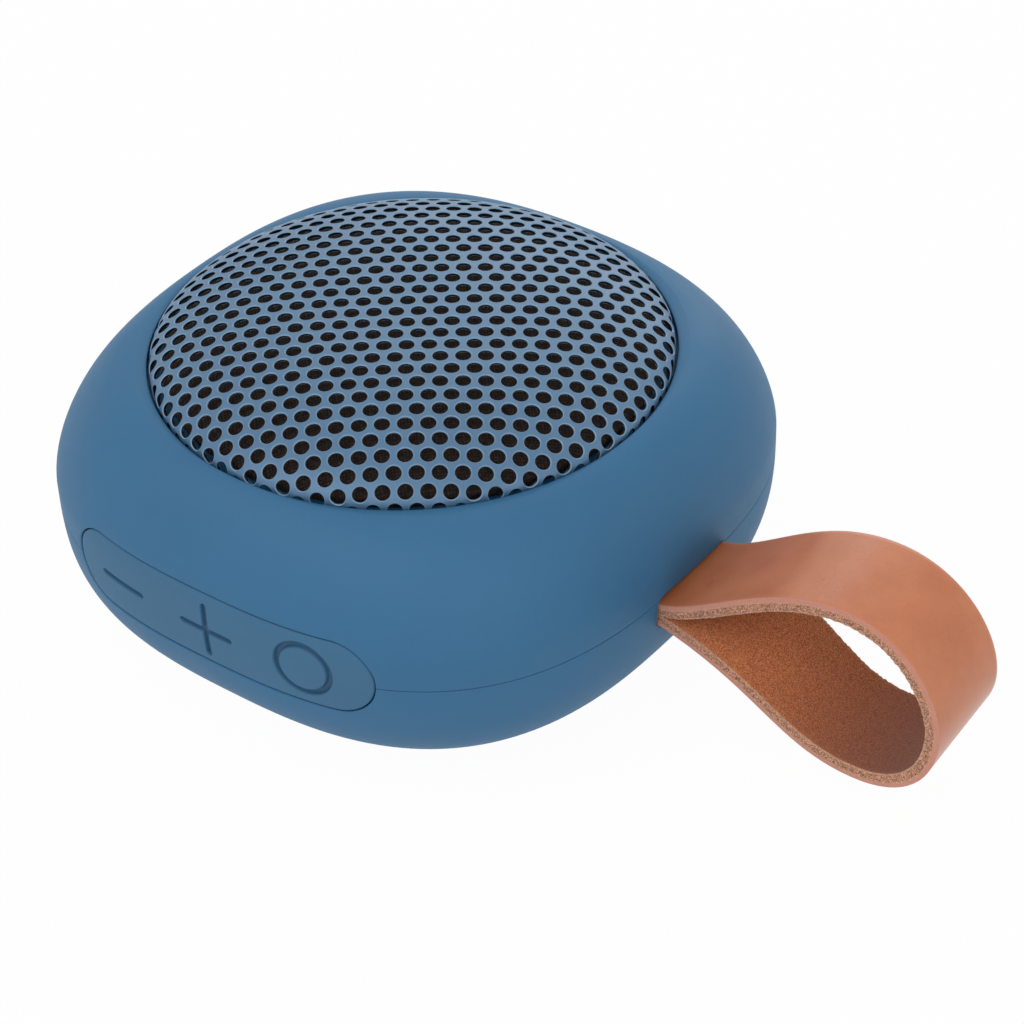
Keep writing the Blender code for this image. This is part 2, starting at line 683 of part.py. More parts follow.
def driver_gasket():
    low = FRAME_TOP + GAP
    high = BAFFLE_UNDER - GAP
    gasket = turned("driver_gasket", [(FRAME_RADIUS, high), (FRAME_RADIUS, low),
                                      (0.0245, low), (0.0245, high)], FOAM, 30, closed=True)
    for name, x, y in driver_screw_places():
        cut(gasket, rod("gasket_" + name, DRIVER_EYE, (x, y, 0.035), (x, y, 0.037), steps=9))
    return gasket


def driver_surround():
    """A half-roll of rubber between the cone's edge and the frame."""
    foot, sheet = FRAME_TOP, 0.0004
    middle, roll = 0.02155, 0.0014
    top = foot + sheet
    outer = [(0.0241, top)]
    inner = [(0.0241, foot)]
    for k in range(5):
        angle = math.pi * k / 4
        x, z = math.cos(angle), math.sin(angle)
        lift = foot + sheet / 2 + (roll + sheet / 2) * z
        outer.append((middle + (roll + sheet / 2) * x, max(lift, top)))
        inner.append((middle + (roll - sheet / 2) * x, foot + (roll - sheet / 2) * z))
    outer.append((0.0190, top))
    inner.append((0.0190, foot))
    return smooth(turned("driver_surround", inner + outer[::-1], RUBBER, ROUND_STEPS, closed=True))


def spider():
    """The corrugated disc that centres the voice coil."""
    low, sheet = 0.0273, 0.0004
    count = 6
    top, under = [], []
    for k in range(count + 1):
        radius = SPIDER_RADIUS - (SPIDER_RADIUS - SPIDER_BORE) * k / count
        lift = 0.0 if k in (0, count) else 0.0004 * math.sin(math.pi * k / 2)
        top.append((radius, low + sheet + lift))
        under.append((radius, low + lift))
    return smooth(turned("spider", under + top[::-1], SPIDER_TAN, closed=True), 60)


def driver_cone():
    lip = FRAME_TOP - GAP
    rows = [(0.0200, lip), (0.0200, lip - 0.0005), (0.0190, lip - 0.0006),
            (0.0128, 0.0316), (0.0077, 0.0296), (0.0077, 0.0301), (0.0126, 0.0321),
            (0.0188, lip)]
    return smooth(turned("driver_cone", rows, PAPER, ROUND_STEPS, closed=True))


def dust_cap():
    radius, foot, rise, sheet = 0.0088, 0.0312, 0.0026, 0.0005
    outer = [(radius * math.sin(math.radians(a)), foot + rise * math.cos(math.radians(a)))
             for a in (0, 30, 60, 90)]
    inner = [((radius - sheet) * math.sin(math.radians(a)),
              foot + (rise - sheet) * math.cos(math.radians(a))) for a in (90, 60, 30, 0)]
    return smooth(turned("dust_cap", outer + inner, PAPER))


def voice_coil():
    former = COIL_RADIUS + GAP
    wound = former + 0.0005
    rows = [(former, 0.0299), (former, 0.0254), (wound, 0.0254), (wound, 0.0220),
            (COIL_RADIUS, 0.0220), (COIL_RADIUS, 0.0299)]
    return smooth(turned("voice_coil", rows, COPPER, closed=True))


def magnet_system():
    yoke = [(0.0, 0.0246), (0.0066, 0.0246), (0.0066, 0.0182), (0.0155, 0.0182),
            (0.0160, 0.0177), (0.0160, 0.0166), (0.0, 0.0166)]
    smooth(turned("yoke", yoke, STEEL))
    magnet = [(0.0160, 0.0225), (0.0160, 0.0185), (0.0095, 0.0185), (0.0095, 0.0225)]
    smooth(turned("magnet", magnet, FERRITE, closed=True))
    plate = [(0.0155, 0.0246), (0.0155, 0.0228), (0.0082, 0.0228), (0.0082, 0.0246)]
    smooth(turned("top_plate", plate, STEEL, closed=True))


# ---------------------------------------------------------------- electronics
def main_board():
    board = box("main_board", (-0.0190, -0.0220, BOARD_UNDER), (0.0190, 0.0380, BOARD_TOP),
                BOARD_GREEN)
    for number, k in enumerate(BOARD_SCREWS, start=1):
        x, y = BOARD_POSTS[k]
        cut(board, rod(f"board_hole_{k}", SCREW_EYE, (x, y, 0.0115), (x, y, 0.0150),
                       steps=SMALL_STEPS))
        screw(f"board_screw_{number}", (x, y, BOARD_TOP + GAP), (0, 0, -1), 0.0016, 0.0008,
              0.0006, 0.0050)


def board_box(name, x, y, size, surface, bevel=0.0002):
    """A component that stands on the main board."""
    width, depth, height = size
    box(name, (x - width / 2, y - depth / 2, BOARD_TOP + GAP),
        (x + width / 2, y + depth / 2, BOARD_TOP + GAP + height), surface, bevel)


def board_components():
    board_box("bluetooth_module", -0.0060, 0.0270, (0.0130, 0.0110, 0.0020), STEEL)
    board_box("amplifier_chip", 0.0110, 0.0080, (0.0060, 0.0050, 0.0012), BLACK_PLASTIC)
    board_box("inductor", 0.0100, 0.0275, (0.0050, 0.0050, 0.0026), FERRITE, 0.0008)
    board_box("microphone", 0.0155, 0.0345, (0.0038, 0.0030, 0.0011), STEEL)
    smooth(rod("capacitor", 0.0025, (0.0120, -0.0122, BOARD_TOP + GAP),
               (0.0120, -0.0122, BOARD_TOP + GAP + 0.0024), BLACK_PLASTIC, steps=20))
    shell = box("usb_socket", (-0.0038, 0.0365, BOARD_TOP + GAP),
                (0.0038, 0.0420, BOARD_TOP + GAP + 0.0026), STEEL, bevel=0.0003)
    cut(shell, box("usb_mouth", (-0.0033, 0.0380, BOARD_TOP + GAP + 0.0005),
                   (0.0033, 0.0430, BOARD_TOP + GAP + 0.0021)))


def power():
    box("battery", (-0.0170, -0.0140, 0.0040), (0.0170, 0.0140, 0.0095), SILVER_FOIL, 0.0012)
    box("battery_pad", (-0.0140, -0.0110, FLOOR_TOP + 0.0002), (0.0140, 0.0110, 0.0037), FOAM)
    wire("battery_lead", ((0.0080, 0.0147, 0.0068), (0.0079, 0.0165, 0.0070),
                          (0.0070, 0.0185, 0.0085), (0.0060, 0.0190, 0.0115)), LEAD_RADIUS,
         SLEEVE_RED)
    wire("speaker_lead", ((-0.0194, -0.0040, 0.0270), (-0.0208, -0.0048, 0.0235),
                          (-0.0200, -0.0060, 0.0180), (-0.0175, -0.0066, 0.0146)), LEAD_RADIUS,
         BLACK_PLASTIC)
    wire("button_lead", ((-0.0060, -0.0366, 0.0190), (-0.0060, -0.0330, 0.0180),
                         (-0.0060, -0.0270, 0.0155), (-0.0060, -0.0205, 0.0146)), LEAD_RADIUS,
         FOAM)


# ---------------------------------------------------------------- charging port
def rounded_outline(half_x, half_y, radius, arc_steps=4):
    points = []
    for k, (sx, sy) in enumerate(((1, 1), (-1, 1), (-1, -1), (1, -1))):
        for j in range(arc_steps + 1):
            angle = math.pi / 2 * (k + j / arc_steps)
            points.append((sx * (half_x - radius) + radius * math.cos(angle),
                           sy * (half_y - radius) + radius * math.sin(angle)))
    return points


def port_slab(name, half_x, half_z, depth_from, depth_to, surface=None):
    """A rounded slab at the port, flat to the case's side; depths are outwards from it."""
    middle = (depth_from + depth_to) / 2
    turn = (Matrix.Translation((0.0, case_radius(PORT_Z), PORT_Z))
            @ Matrix.Rotation(-math.pi / 2 - PORT_TILT, 4, "X")
            @ Matrix.Translation((0.0, 0.0, middle)))
    return slab(name, rounded_outline(half_x, half_z, 0.0030), depth_to - depth_from, turn,
                surface)


def port_cover():
    cover = port_slab("port_cover", PORT_COVER_LENGTH / 2, PORT_COVER_HEIGHT / 2,
                      -PORT_COVER_DEPTH, 0.0, STRIP_BLUE)
    lip = box("port_lip", (-0.0030, 0.0448, PORT_Z + 0.0026), (0.0030, 0.0460, PORT_Z + 0.0034))
    return join(cover, lip)


# ---------------------------------------------------------------- assembly
def build():
    upper_housing()
    lower_housing()
    housing_seal()
    foot_pad()
    dome("grille", 0.0, GRILLE_THICKNESS, BAFFLE_TOP + 0.0004, GRILLE_BLUE, 48, 6)
    dome("grille_cloth", GRILLE_THICKNESS + GAP, 0.0004, BAFFLE_TOP + 0.0004, CLOTH, ROUND_STEPS, 4)
    button_strip()
    button_board()
    for name, x in KEYS:
        key(name, x)
        switch(name.removeprefix("key_"), x)
    strap_loop()
    half = STRAP_THICKNESS / 2 + GAP / 2
    strap_tail("strap_tail_upper", STRAP_Z + half)
    strap_tail("strap_tail_lower", STRAP_Z - half)
    strap_clamp()
    driver_gasket()
    driver_basket()
    driver_surround()
    driver_cone()
    dust_cap()
    voice_coil()
    spider()
    magnet_system()
    main_board()
    board_components()
    power()
    port_cover()
    for name, x, y in case_screw_places():
        screw("case_screw_" + name, (x, y, CASE_SCREW_SEAT - GAP), (0, 0, 1), 0.0024, 0.0012, 0.0009,
              0.0120)


build()
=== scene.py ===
import math

import bpy
import numpy as np
from mathutils import Matrix, Vector, noise


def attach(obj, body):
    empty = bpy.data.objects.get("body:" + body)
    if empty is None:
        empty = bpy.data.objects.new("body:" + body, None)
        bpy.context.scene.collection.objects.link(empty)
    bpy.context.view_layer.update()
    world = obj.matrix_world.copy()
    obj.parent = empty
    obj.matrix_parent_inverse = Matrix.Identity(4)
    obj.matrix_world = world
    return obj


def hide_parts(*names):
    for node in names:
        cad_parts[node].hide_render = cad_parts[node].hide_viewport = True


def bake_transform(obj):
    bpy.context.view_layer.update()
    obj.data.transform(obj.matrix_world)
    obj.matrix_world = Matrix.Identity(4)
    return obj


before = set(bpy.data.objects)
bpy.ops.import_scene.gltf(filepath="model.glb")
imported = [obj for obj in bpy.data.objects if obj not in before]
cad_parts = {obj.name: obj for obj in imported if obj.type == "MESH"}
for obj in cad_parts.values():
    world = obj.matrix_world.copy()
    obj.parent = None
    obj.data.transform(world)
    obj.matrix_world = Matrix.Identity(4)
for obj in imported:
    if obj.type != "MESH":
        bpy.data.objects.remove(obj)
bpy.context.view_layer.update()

# A pocket wireless speaker: a soft-square case, a domed perforated grille, a strip of keys
# across the front and a leather loop at the side.
# -Y is the front, +X is the loop's side, +Z is up. All lengths are in metres.

# ---------------------------------------------------------------- sizes shared with the part
HALF_WIDTH = 0.046
PLAN_POWER = 2.714
RIM_RADIUS = 0.0364
RIM_HEIGHT = 0.0404
WIDEST_HEIGHT = 0.0249
PARTING_HEIGHT = 0.0212
BASE_HEIGHT = 0.0007
SHOULDER_POWER = 1.534
BELLY_POWER = 3.229
BELLY_FOOT_RADIUS = 0.0092
SHOULDER_SQUARENESS = 0.30
BELLY_SQUARENESS = 0.73
WALL = 0.0024
DOME_RISE = 0.0070
DOME_POWER = 3.0
DOME_ROUNDNESS = 0.62
GRILLE_RADIUS = 0.0360
GRILLE_THICKNESS = 0.0008
BAFFLE_TOP = 0.0385
BAFFLE_UNDER = 0.0367
BAFFLE_RADIUS = 0.0245
STRIP_X = 0.0005
STRIP_Z = 0.0216
STRIP_HALF_LENGTH = 0.0253
STRIP_HALF_HEIGHT = 0.00575
KEY_SPACING = 0.0158
STRAP_WIDTH = 0.0150
STRAP_THICKNESS = 0.0020
STRAP_Y = 0.0009
STRAP_Z = 0.0184
FOOT_RADIUS = 0.0243
FOOT_TOP = 0.0014
FLOOR_TOP = 0.0030
DRIVER_TOP = 0.0357           # the driver's frame
CASE_SCREW_OFFSET = 0.0226
PORT_Z = 0.0148

# ---------------------------------------------------------------- sizes of the visible detail
CASE_AROUND = 240
SEAM_HALF_GAP = 0.00004       # half of the dark line between the shells
SEAM_EASE = 0.00009           # rounding of the shells' edges at that line
RIM_EASE = 0.00025            # rounding of the grille opening
STRIP_GAP = 0.00016
STRIP_EASE = 0.00026
STRIP_SINK = 0.00009          # the strip lies this far below the case's surface
STRIP_DEPTH = 0.0013          # its back
GROOVE_HALF_WIDTH = 0.00040
GROOVE_DEPTH = 0.00055
HOLE_PITCH = 0.00302
HOLE_RADIUS = 0.00106
HOLE_EASE = 0.00014
HOLE_ROWS_TURN = math.radians(37.45)
HOLE_OFFSET = (-0.00028, 0.00082)
HOLE_SIDES = 18
HOLE_COLUMNS = 28             # in the flat sheet, before it is cut round
HOLE_ROW_PAIRS = 16
CLOTH_GAP = 0.0008
CLOTH_THICKNESS = 0.0004
ROW_SPACING = 0.0007          # between the rings of a shell's outer surface
REBATE = 0.0012               # how far the gasket's step reaches past the parting line
CLEAR_OF_CASE = HALF_WIDTH + 0.003
MERGE = 2e-6

# The marks' places across the strip, and half lengths: a bar, two bars and a ring.
MARK_Z = 0.0213
MINUS_HALF = 0.0041
PLUS_HALF = 0.0044
MARK_RING_RADIUS = 0.0039

# Half length, half height and corner radius of the covered port and of the hole behind it.
PORT_COVER = (0.0075, 0.0037, 0.0030)
PORT_HOLE = (0.0048, 0.0021, 0.0016)
STRAP_MOUTH = (STRAP_WIDTH / 2 + 0.0003, STRAP_THICKNESS + 0.0004, 0.0012)
SCREW_WELL_RADIUS = 0.0030


# ---------------------------------------------------------------- modelling helpers
def clear():
    if bpy.context.object and bpy.context.object.mode != "OBJECT":
        bpy.ops.object.mode_set(mode="OBJECT")
    bpy.ops.object.select_all(action="DESELECT")


def pick(obj):
    clear()
    obj.select_set(True)
    bpy.context.view_layer.objects.active = obj
    return obj


def edit(obj, whole=True):
    """Enter edit mode with all of it selected, or with what code has selected."""
    pick(obj)
    bpy.ops.object.mode_set(mode="EDIT")
    if whole:
        bpy.ops.mesh.select_all(action="SELECT")


def points_of(obj):
    places = np.zeros(len(obj.data.vertices) * 3)
    obj.data.vertices.foreach_get("co", places)
    return places.reshape(-1, 3)


def set_points(obj, places):
    obj.data.vertices.foreach_set("co", np.asarray(places, float).ravel())
    obj.data.update()


def store(obj, name, values, kind="FLOAT"):
    """Keep a value, or a vector, on every point."""
    made = obj.data.attributes.new(name, kind, "POINT")
    made.data.foreach_set("value" if kind == "FLOAT" else "vector",
                          values.astype(np.float32).ravel())


def fill_open_ends():
    bpy.ops.mesh.select_all(action="DESELECT")
    bpy.ops.mesh.select_non_manifold()
    bpy.ops.mesh.fill_holes(sides=0)
    bpy.ops.mesh.select_all(action="SELECT")


def stack(name, levels, around, shape, ends="open"):
    """Extrude a ring level by level, then set every point in its place.

    shape(level, share) gives the points, for whole-number levels and shares of the way round.
    """
    clear()
    bpy.ops.mesh.primitive_circle_add(vertices=around, radius=1.0)
    obj = bpy.context.object
    obj.name = obj.data.name = name
    edit(obj)
    for _ in range(levels - 1):
        bpy.ops.mesh.extrude_region_move(TRANSFORM_OT_translate={"value": (0, 0, 1)})
    clear()
    x, y, z = points_of(obj).T
    level = np.rint(z).astype(int)
    share = np.rint(np.arctan2(y, x) / (2 * math.pi) * around) % around / around
    set_points(obj, shape(level, share))
    edit(obj)
    if ends == "capped":
        fill_open_ends()
    bpy.ops.mesh.remove_doubles(threshold=MERGE)
    bpy.ops.mesh.normals_make_consistent(inside=False)
    clear()
    return obj


def on_circle(radius, share, height):
    """Points at a radius and a height, at shares of the way round."""
    angle = 2 * math.pi * share
    return np.stack([radius * np.cos(angle), radius * np.sin(angle), height], 1)


def turned(name, rows, around, angle):
    """A round solid from its rows of (radius, height)."""
    radius, height = np.array(rows).T
    made = stack(name, len(rows), around,
                 lambda level, share: on_circle(radius[level], share, height[level]))
    return smooth(made, angle)


def apply(obj, kind, **settings):
    pick(obj)
    step = obj.modifiers.new(kind.lower(), kind)
    for key, value in settings.items():
        setattr(step, key, value)
    bpy.ops.object.modifier_apply(modifier=step.name)
    return obj


def cut(obj, *cutters):
    for cutter in cutters:
        apply(obj, "BOOLEAN", operation="DIFFERENCE", solver="EXACT", object=cutter)
    return obj


def scrap(*objs):
    for obj in objs:
        bpy.data.objects.remove(obj, do_unlink=True)


def smooth(obj, angle=32.0):
    pick(obj)
    bpy.ops.object.shade_smooth_by_angle(angle=math.radians(angle))
    return obj


def copy_of(obj, name):
    pick(obj)
    bpy.ops.object.duplicate()
    made = bpy.context.object
    made.name = made.data.name = name
    return made


def distances(line):
    """How far each of a flat line's points is along it, always a little more than the last."""
    steps = np.hypot(*np.diff(line, axis=0).T[:2])
    return np.concatenate([[0], np.cumsum(steps)]) + np.arange(len(line)) * 1e-12


def between(places, along, line):
    """The points at some distances along a line; any further columns go with them."""
    return np.stack([np.interp(places, along, column) for column in line.T], 1)


def even_rows(rows):
    """The same profile with its rows evenly spaced along it."""
    rows = np.array(rows)
    along = distances(rows)
    places = np.linspace(0, along[-1], max(2, round(along[-1] / ROW_SPACING) + 1))
    return [tuple(row) for row in between(places, along, rows)]


def quarter(steps, first=0.0, last=90.0):
    return [math.radians(first + (last - first) * k / steps) for k in range(steps + 1)]


# ---------------------------------------------------------------- the case's form
def swell(z):
    z = np.asarray(z, float)
    above = z >= WIDEST_HEIGHT
    share = np.where(above, (z - WIDEST_HEIGHT) / (RIM_HEIGHT - WIDEST_HEIGHT),
                     (WIDEST_HEIGHT - z) / WIDEST_HEIGHT)
    power = np.where(above, SHOULDER_POWER, BELLY_POWER)
    return (1 - np.clip(share, 0, 1) ** power) ** (1 / power)


def case_radius(z):
    inner = np.where(np.asarray(z) >= WIDEST_HEIGHT, RIM_RADIUS, BELLY_FOOT_RADIUS)
    return inner + (HALF_WIDTH - inner) * swell(z)


def squareness(z):
    return swell(z) ** np.where(np.asarray(z) >= WIDEST_HEIGHT, SHOULDER_SQUARENESS,
                                BELLY_SQUARENESS)


def corner_swell(angle):
    reach = np.abs(np.cos(angle)) ** PLAN_POWER + np.abs(np.sin(angle)) ** PLAN_POWER
    return reach ** (-1 / PLAN_POWER) - 1


def side_reach(across, z):
    """How far out the case's side is, at a distance across it and a height."""
    radius, square = case_radius(z), squareness(z)
    out = np.sqrt(np.maximum(radius ** 2 - across ** 2, 1e-8))
    for _ in range(25):
        wide = radius + HALF_WIDTH * corner_swell(np.arctan2(across, out)) * square
        out = np.sqrt(np.maximum(wide ** 2 - across ** 2, 1e-8))
    return out


def squared(rows):
    """Rows of (radius, height, squareness) as rings that are soft squares."""
    radius, height, square = np.array(rows).T

    def shape(level, share):
        angle = 2 * math.pi * share
        out = radius[level] + HALF_WIDTH * corner_swell(angle) * square[level]
        return np.stack([out * np.cos(angle), out * np.sin(angle), height[level]], 1)
    return shape


def shoulder_rows():
    """From the opening's lip down to the widest height."""
    first = RIM_EASE / (HALF_WIDTH - RIM_RADIUS)
    swells = first + (1 - first) * np.linspace(0, 1, 400) ** 1.4
    heights = WIDEST_HEIGHT + (RIM_HEIGHT - WIDEST_HEIGHT) * (
        np.maximum(0, 1 - swells ** SHOULDER_POWER) ** (1 / SHOULDER_POWER))
    return [(RIM_RADIUS + (HALF_WIDTH - RIM_RADIUS) * s, z, s ** SHOULDER_SQUARENESS)
            for s, z in zip(swells, heights)]


def side_rows(start, end, count=300, wall=0.0):
    return [(float(case_radius(z)) - wall, z, float(squareness(z)))
            for z in np.linspace(start, end, count)]


def inner_rows(start, end, count):
    return side_rows(start, end, count, WALL)


def seam_lip(side):
    """The rounded edge of a shell at the parting line; side is 1 above it and -1 below."""
    edge = PARTING_HEIGHT + side * SEAM_HALF_GAP
    radius, square = float(case_radius(edge)), float(squareness(edge))
    return [(radius - SEAM_EASE * (1 - math.sin(a)),
             edge + side * SEAM_EASE * (1 - math.cos(a)), square)
            for a in quarter(4)]


def upper_shell():
    lip_surface = shoulder_rows()
    top = lip_surface[0]
    lip = [(RIM_RADIUS + RIM_EASE * (1 - math.cos(a)),
            top[1] - RIM_EASE * (1 - math.sin(a)), top[2] * math.sin(a) ** 2)
           for a in quarter(6)]
    seam = PARTING_HEIGHT + SEAM_HALF_GAP
    edge, square = float(case_radius(seam)), float(squareness(seam))
    rebate = PARTING_HEIGHT + REBATE
    inside = inner_rows(rebate, BAFFLE_UNDER, 14)
    rows = [(BAFFLE_RADIUS, BAFFLE_TOP, 0), (RIM_RADIUS, BAFFLE_TOP, 0), *lip,
            *even_rows(lip_surface)[1:],
            *even_rows(side_rows(WIDEST_HEIGHT, seam + SEAM_EASE))[1:-1],
            *seam_lip(1)[::-1],
            (edge - WALL / 2, seam, square), (edge - WALL / 2, rebate, square), *inside,
            (BAFFLE_RADIUS, BAFFLE_UNDER, 0), (BAFFLE_RADIUS, BAFFLE_TOP, 0)]
    return stack("shell_upper", len(rows), CASE_AROUND, squared(rows))


def lower_shell():
    seam = PARTING_HEIGHT - SEAM_HALF_GAP
    edge, square = float(case_radius(seam)), float(squareness(seam))
    rebate = PARTING_HEIGHT - REBATE
    inside = inner_rows(FLOOR_TOP + 0.0016, rebate, 12)
    outside = even_rows(side_rows(seam - SEAM_EASE, BASE_HEIGHT))
    last = outside[-1]
    foot = FOOT_RADIUS + 0.0003
    rows = [(1e-6, FLOOR_TOP, 0), (inside[0][0] - 0.0026, FLOOR_TOP, inside[0][2] * 0.6),
            *inside, (edge - WALL / 2, rebate, square), (edge - WALL / 2, seam, square),
            *seam_lip(-1), *outside[1:],
            (last[0] - 0.0009, BASE_HEIGHT - 0.00005, last[2] * 0.5),
            (foot + 0.0003, BASE_HEIGHT, 0), (foot, BASE_HEIGHT + 0.0002, 0),
            (foot, FOOT_TOP + 0.0003, 0), (1e-6, FOOT_TOP + 0.0003, 0)]
    return stack("shell_lower", len(rows), CASE_AROUND, squared(rows))


# ---------------------------------------------------------------- outlines sunk in a side
def outline(half_a, half_b, corner, share):
    """Points and outward directions round a rounded rectangle, even along its length."""
    places, directions = [], []
    for k, (sa, sb) in enumerate(((1, 1), (-1, 1), (-1, -1), (1, -1))):
        for angle in np.linspace(math.pi / 2 * k, math.pi / 2 * (k + 1), 60):
            direction = (math.cos(angle), math.sin(angle))
            places.append((sa * (half_a - corner) + corner * direction[0],
                           sb * (half_b - corner) + corner * direction[1]))
            directions.append(direction)
    places, directions = np.array(places + places[:1]), np.array(directions + directions[:1])
    along = distances(places)
    spot = between(share * along[-1], along, places)
    facing = between(share * along[-1], along, directions)
    return spot, facing / np.linalg.norm(facing, axis=1, keepdims=True)


def on_front(a, b, depth):
    return np.stack([a, -(side_reach(a, b) - depth), b], 1)


def on_back(a, b, depth):
    return np.stack([a, side_reach(a, b) - depth, b], 1)


def on_right(a, b, depth):
    return np.stack([side_reach(a, b) - depth, a, b], 1)


def on_underside(a, b, depth):
    return np.stack([a, b, depth], 1)


def sunk(name, side, middle, size, rows, around, ends="capped"):
    """A solid of rings, each an outline at an offset and a depth under a side's surface.

    A depth of None puts that ring in a plane that is clear of the case.
    """
    axis = {on_front: 1, on_back: 1, on_right: 0}.get(side)
    plane = -CLEAR_OF_CASE if side == on_front else CLEAR_OF_CASE
    offsets = np.array([row[0] for row in rows])
    depths = np.array([0 if row[1] is None else row[1] for row in rows])
    flat = np.array([row[1] is None for row in rows])

    def shape(level, share):
        spot, facing = outline(*size, share)
        spot = spot + facing * offsets[level][:, None] + np.array(middle)
        placed = side(spot[:, 0], spot[:, 1], depths[level])
        if flat.any():
            placed[flat[level], axis] = plane
        return placed
    return stack(name, len(rows), around, shape, ends)


def opening(name, side, middle, size, gap, ease, depth, around):
    """A cutter whose mouth is eased, so that the hole that it leaves has a rounded edge."""
    lip = [(gap + ease * (1 - math.cos(a)), ease * (1 - math.sin(a)))
           for a in quarter(4, 70, 0)]
    spread = 0.0003
    rows = [(lip[0][0] + spread, None), (lip[0][0] + spread, lip[0][1] - spread * 0.36), *lip,
            (gap, depth)]
    return sunk(name, side, middle, size, rows, around)


def groove(name, middle, size=None, ring_radius=None):
    """A cutter for one engraved line in the key strip: a bar's size, or a ring's radius."""
    half, deep = GROOVE_HALF_WIDTH, GROOVE_DEPTH
    depths = [-0.30, 0.05, 0.25, 0.75, 1.0]
    offsets = [half * k for k in (0.72, 0.34, 0.14, 0.02, -0.20)]
    side = [(half + o, STRIP_SINK + d * deep) for o, d in zip(offsets, depths)]
    bed = STRIP_SINK + deep * 1.04
    if ring_radius is None:
        rows = [(side[0][0] - size[2], None), *((o - size[2], d) for o, d in side),
                (-size[2], bed)]
        return sunk(name, on_front, middle, size, rows, 96)
    inner = [(-o, d) for o, d in side[::-1]]
    rows = [(side[0][0], None), *side, (0.0, bed), *inner, (inner[-1][0], None)]
    rows.append(rows[0])
    return sunk(name, on_front, middle, (ring_radius,) * 3, rows, 120, "joined")


upper = upper_shell()
lower = lower_shell()

strip_size = (STRIP_HALF_LENGTH, STRIP_HALF_HEIGHT, STRIP_HALF_HEIGHT)
strip_middle = (STRIP_X, STRIP_Z)
strip_mouth = opening("strip_mouth", on_front, strip_middle, strip_size, STRIP_GAP,
                      STRIP_EASE, 0.0052, 288)
strap_mouth = opening("strap_mouth", on_right, (STRAP_Y, STRAP_Z + 0.0004), STRAP_MOUTH,
                      0.0001, 0.0005, 0.0060, 160)
port_mouth = opening("port_mouth", on_back, (0.0, PORT_Z), PORT_COVER, 0.00025, 0.00030,
                     0.0014, 96)
port_hole = opening("port_hole", on_back, (0.0, PORT_Z), PORT_HOLE, 0.0, 0.0002, 0.0050, 48)
cut(upper, strip_mouth, strap_mouth)
cut(lower, strip_mouth, strap_mouth, port_mouth, port_hole)

wells = [sunk("well", on_underside, (x, y), (SCREW_WELL_RADIUS,) * 3,
              [(0.0, -0.001), (0.0, 0.0044)], 32)
         for x in (-CASE_SCREW_OFFSET, CASE_SCREW_OFFSET)
         for y in (-CASE_SCREW_OFFSET, CASE_SCREW_OFFSET)]
cut(lower, *wells)
scrap(strip_mouth, strap_mouth, port_mouth, port_hole, *wells)
for shell in (upper, lower):
    smooth(shell)


# ---------------------------------------------------------------- the key strip
def strip_blank():
    full = -STRIP_HALF_HEIGHT
    behind = [(full * share, STRIP_DEPTH) for share in (1.0, 0.6, 0.25, 0.0)]
    edge = [(-STRIP_EASE * (1 - math.cos(a)), STRIP_SINK + STRIP_EASE * (1 - math.sin(a)))
            for a in quarter(4)]
    face = [(o, STRIP_SINK) for o in np.linspace(-STRIP_EASE, full, 17)[1:]]
    rows = behind + edge + face
    return sunk("strip", on_front, strip_middle, strip_size, rows, 288, "open")


strip = strip_blank()
thin = GROOVE_HALF_WIDTH
marks = [
    groove("mark_minus", (-KEY_SPACING + 0.0006, MARK_Z + 0.0001), (MINUS_HALF, thin, thin)),
    groove("mark_plus_across", (0.0003, MARK_Z), (PLUS_HALF, thin, thin)),
    groove("mark_plus_up", (0.0003, MARK_Z), (thin, PLUS_HALF, thin)),
    groove("mark_ring", (KEY_SPACING + 0.0002, MARK_Z + 0.00035),
           ring_radius=MARK_RING_RADIUS),
]
cut(strip, *marks)
scrap(*marks)


def slice_of(obj, name, low, high):
    """A closed piece of it between two upright planes across X."""
    piece = copy_of(obj, name)
    for at, keep_above in ((low, True), (high, False)):
        if at is None:
            continue
        edit(piece)
        bpy.ops.mesh.bisect(plane_co=(at, 0, 0), plane_no=(1, 0, 0), use_fill=True,
                            clear_inner=keep_above, clear_outer=not keep_above)
        clear()
    return smooth(piece)


# How far each point lies under the case's smooth surface; the painted shade in the grooves is
# made from it.
x, y, z = points_of(strip).T
store(strip, "sunk", side_reach(x, z) + y)

keys = {"minus": (None, -KEY_SPACING / 2, -KEY_SPACING),
        "plus": (-KEY_SPACING / 2, KEY_SPACING / 2, 0.0),
        "power": (KEY_SPACING / 2, None, KEY_SPACING)}
strips = {key: slice_of(strip, "strip_" + key, low, high)
          for key, (low, high, middle) in keys.items()}
scrap(strip)


# ---------------------------------------------------------------- the grille and its cloth
def dome_profile():
    """The grille's line of (radius, height) from its middle, and the distances along it."""
    share = np.sin(np.linspace(0, math.pi / 2, 4000))
    radius = share * GRILLE_RADIUS
    height = RIM_HEIGHT + DOME_RISE * np.maximum(0, 1 - share ** DOME_POWER) ** DOME_ROUNDNESS
    radius = np.append(radius, GRILLE_RADIUS)
    height = np.append(height, BAFFLE_TOP + 0.0001)
    line = np.stack([radius, height], 1)
    return distances(line), line


def on_dome(places, along, line):
    """Lay a flat sheet's points on the dome; their z is the distance above its face."""
    x, y, lift = places.T
    away = np.hypot(x, y)
    angle = np.arctan2(y, x)
    step = 0.00005
    r, z = between(away, along, line).T
    run, rise = (between(away + step, along, line) - between(away - step, along, line)).T
    size = np.hypot(run, rise) + 1e-12
    r = r - rise / size * lift
    z = z + run / size * lift
    return np.stack([r * np.cos(angle), r * np.sin(angle), z], 1)


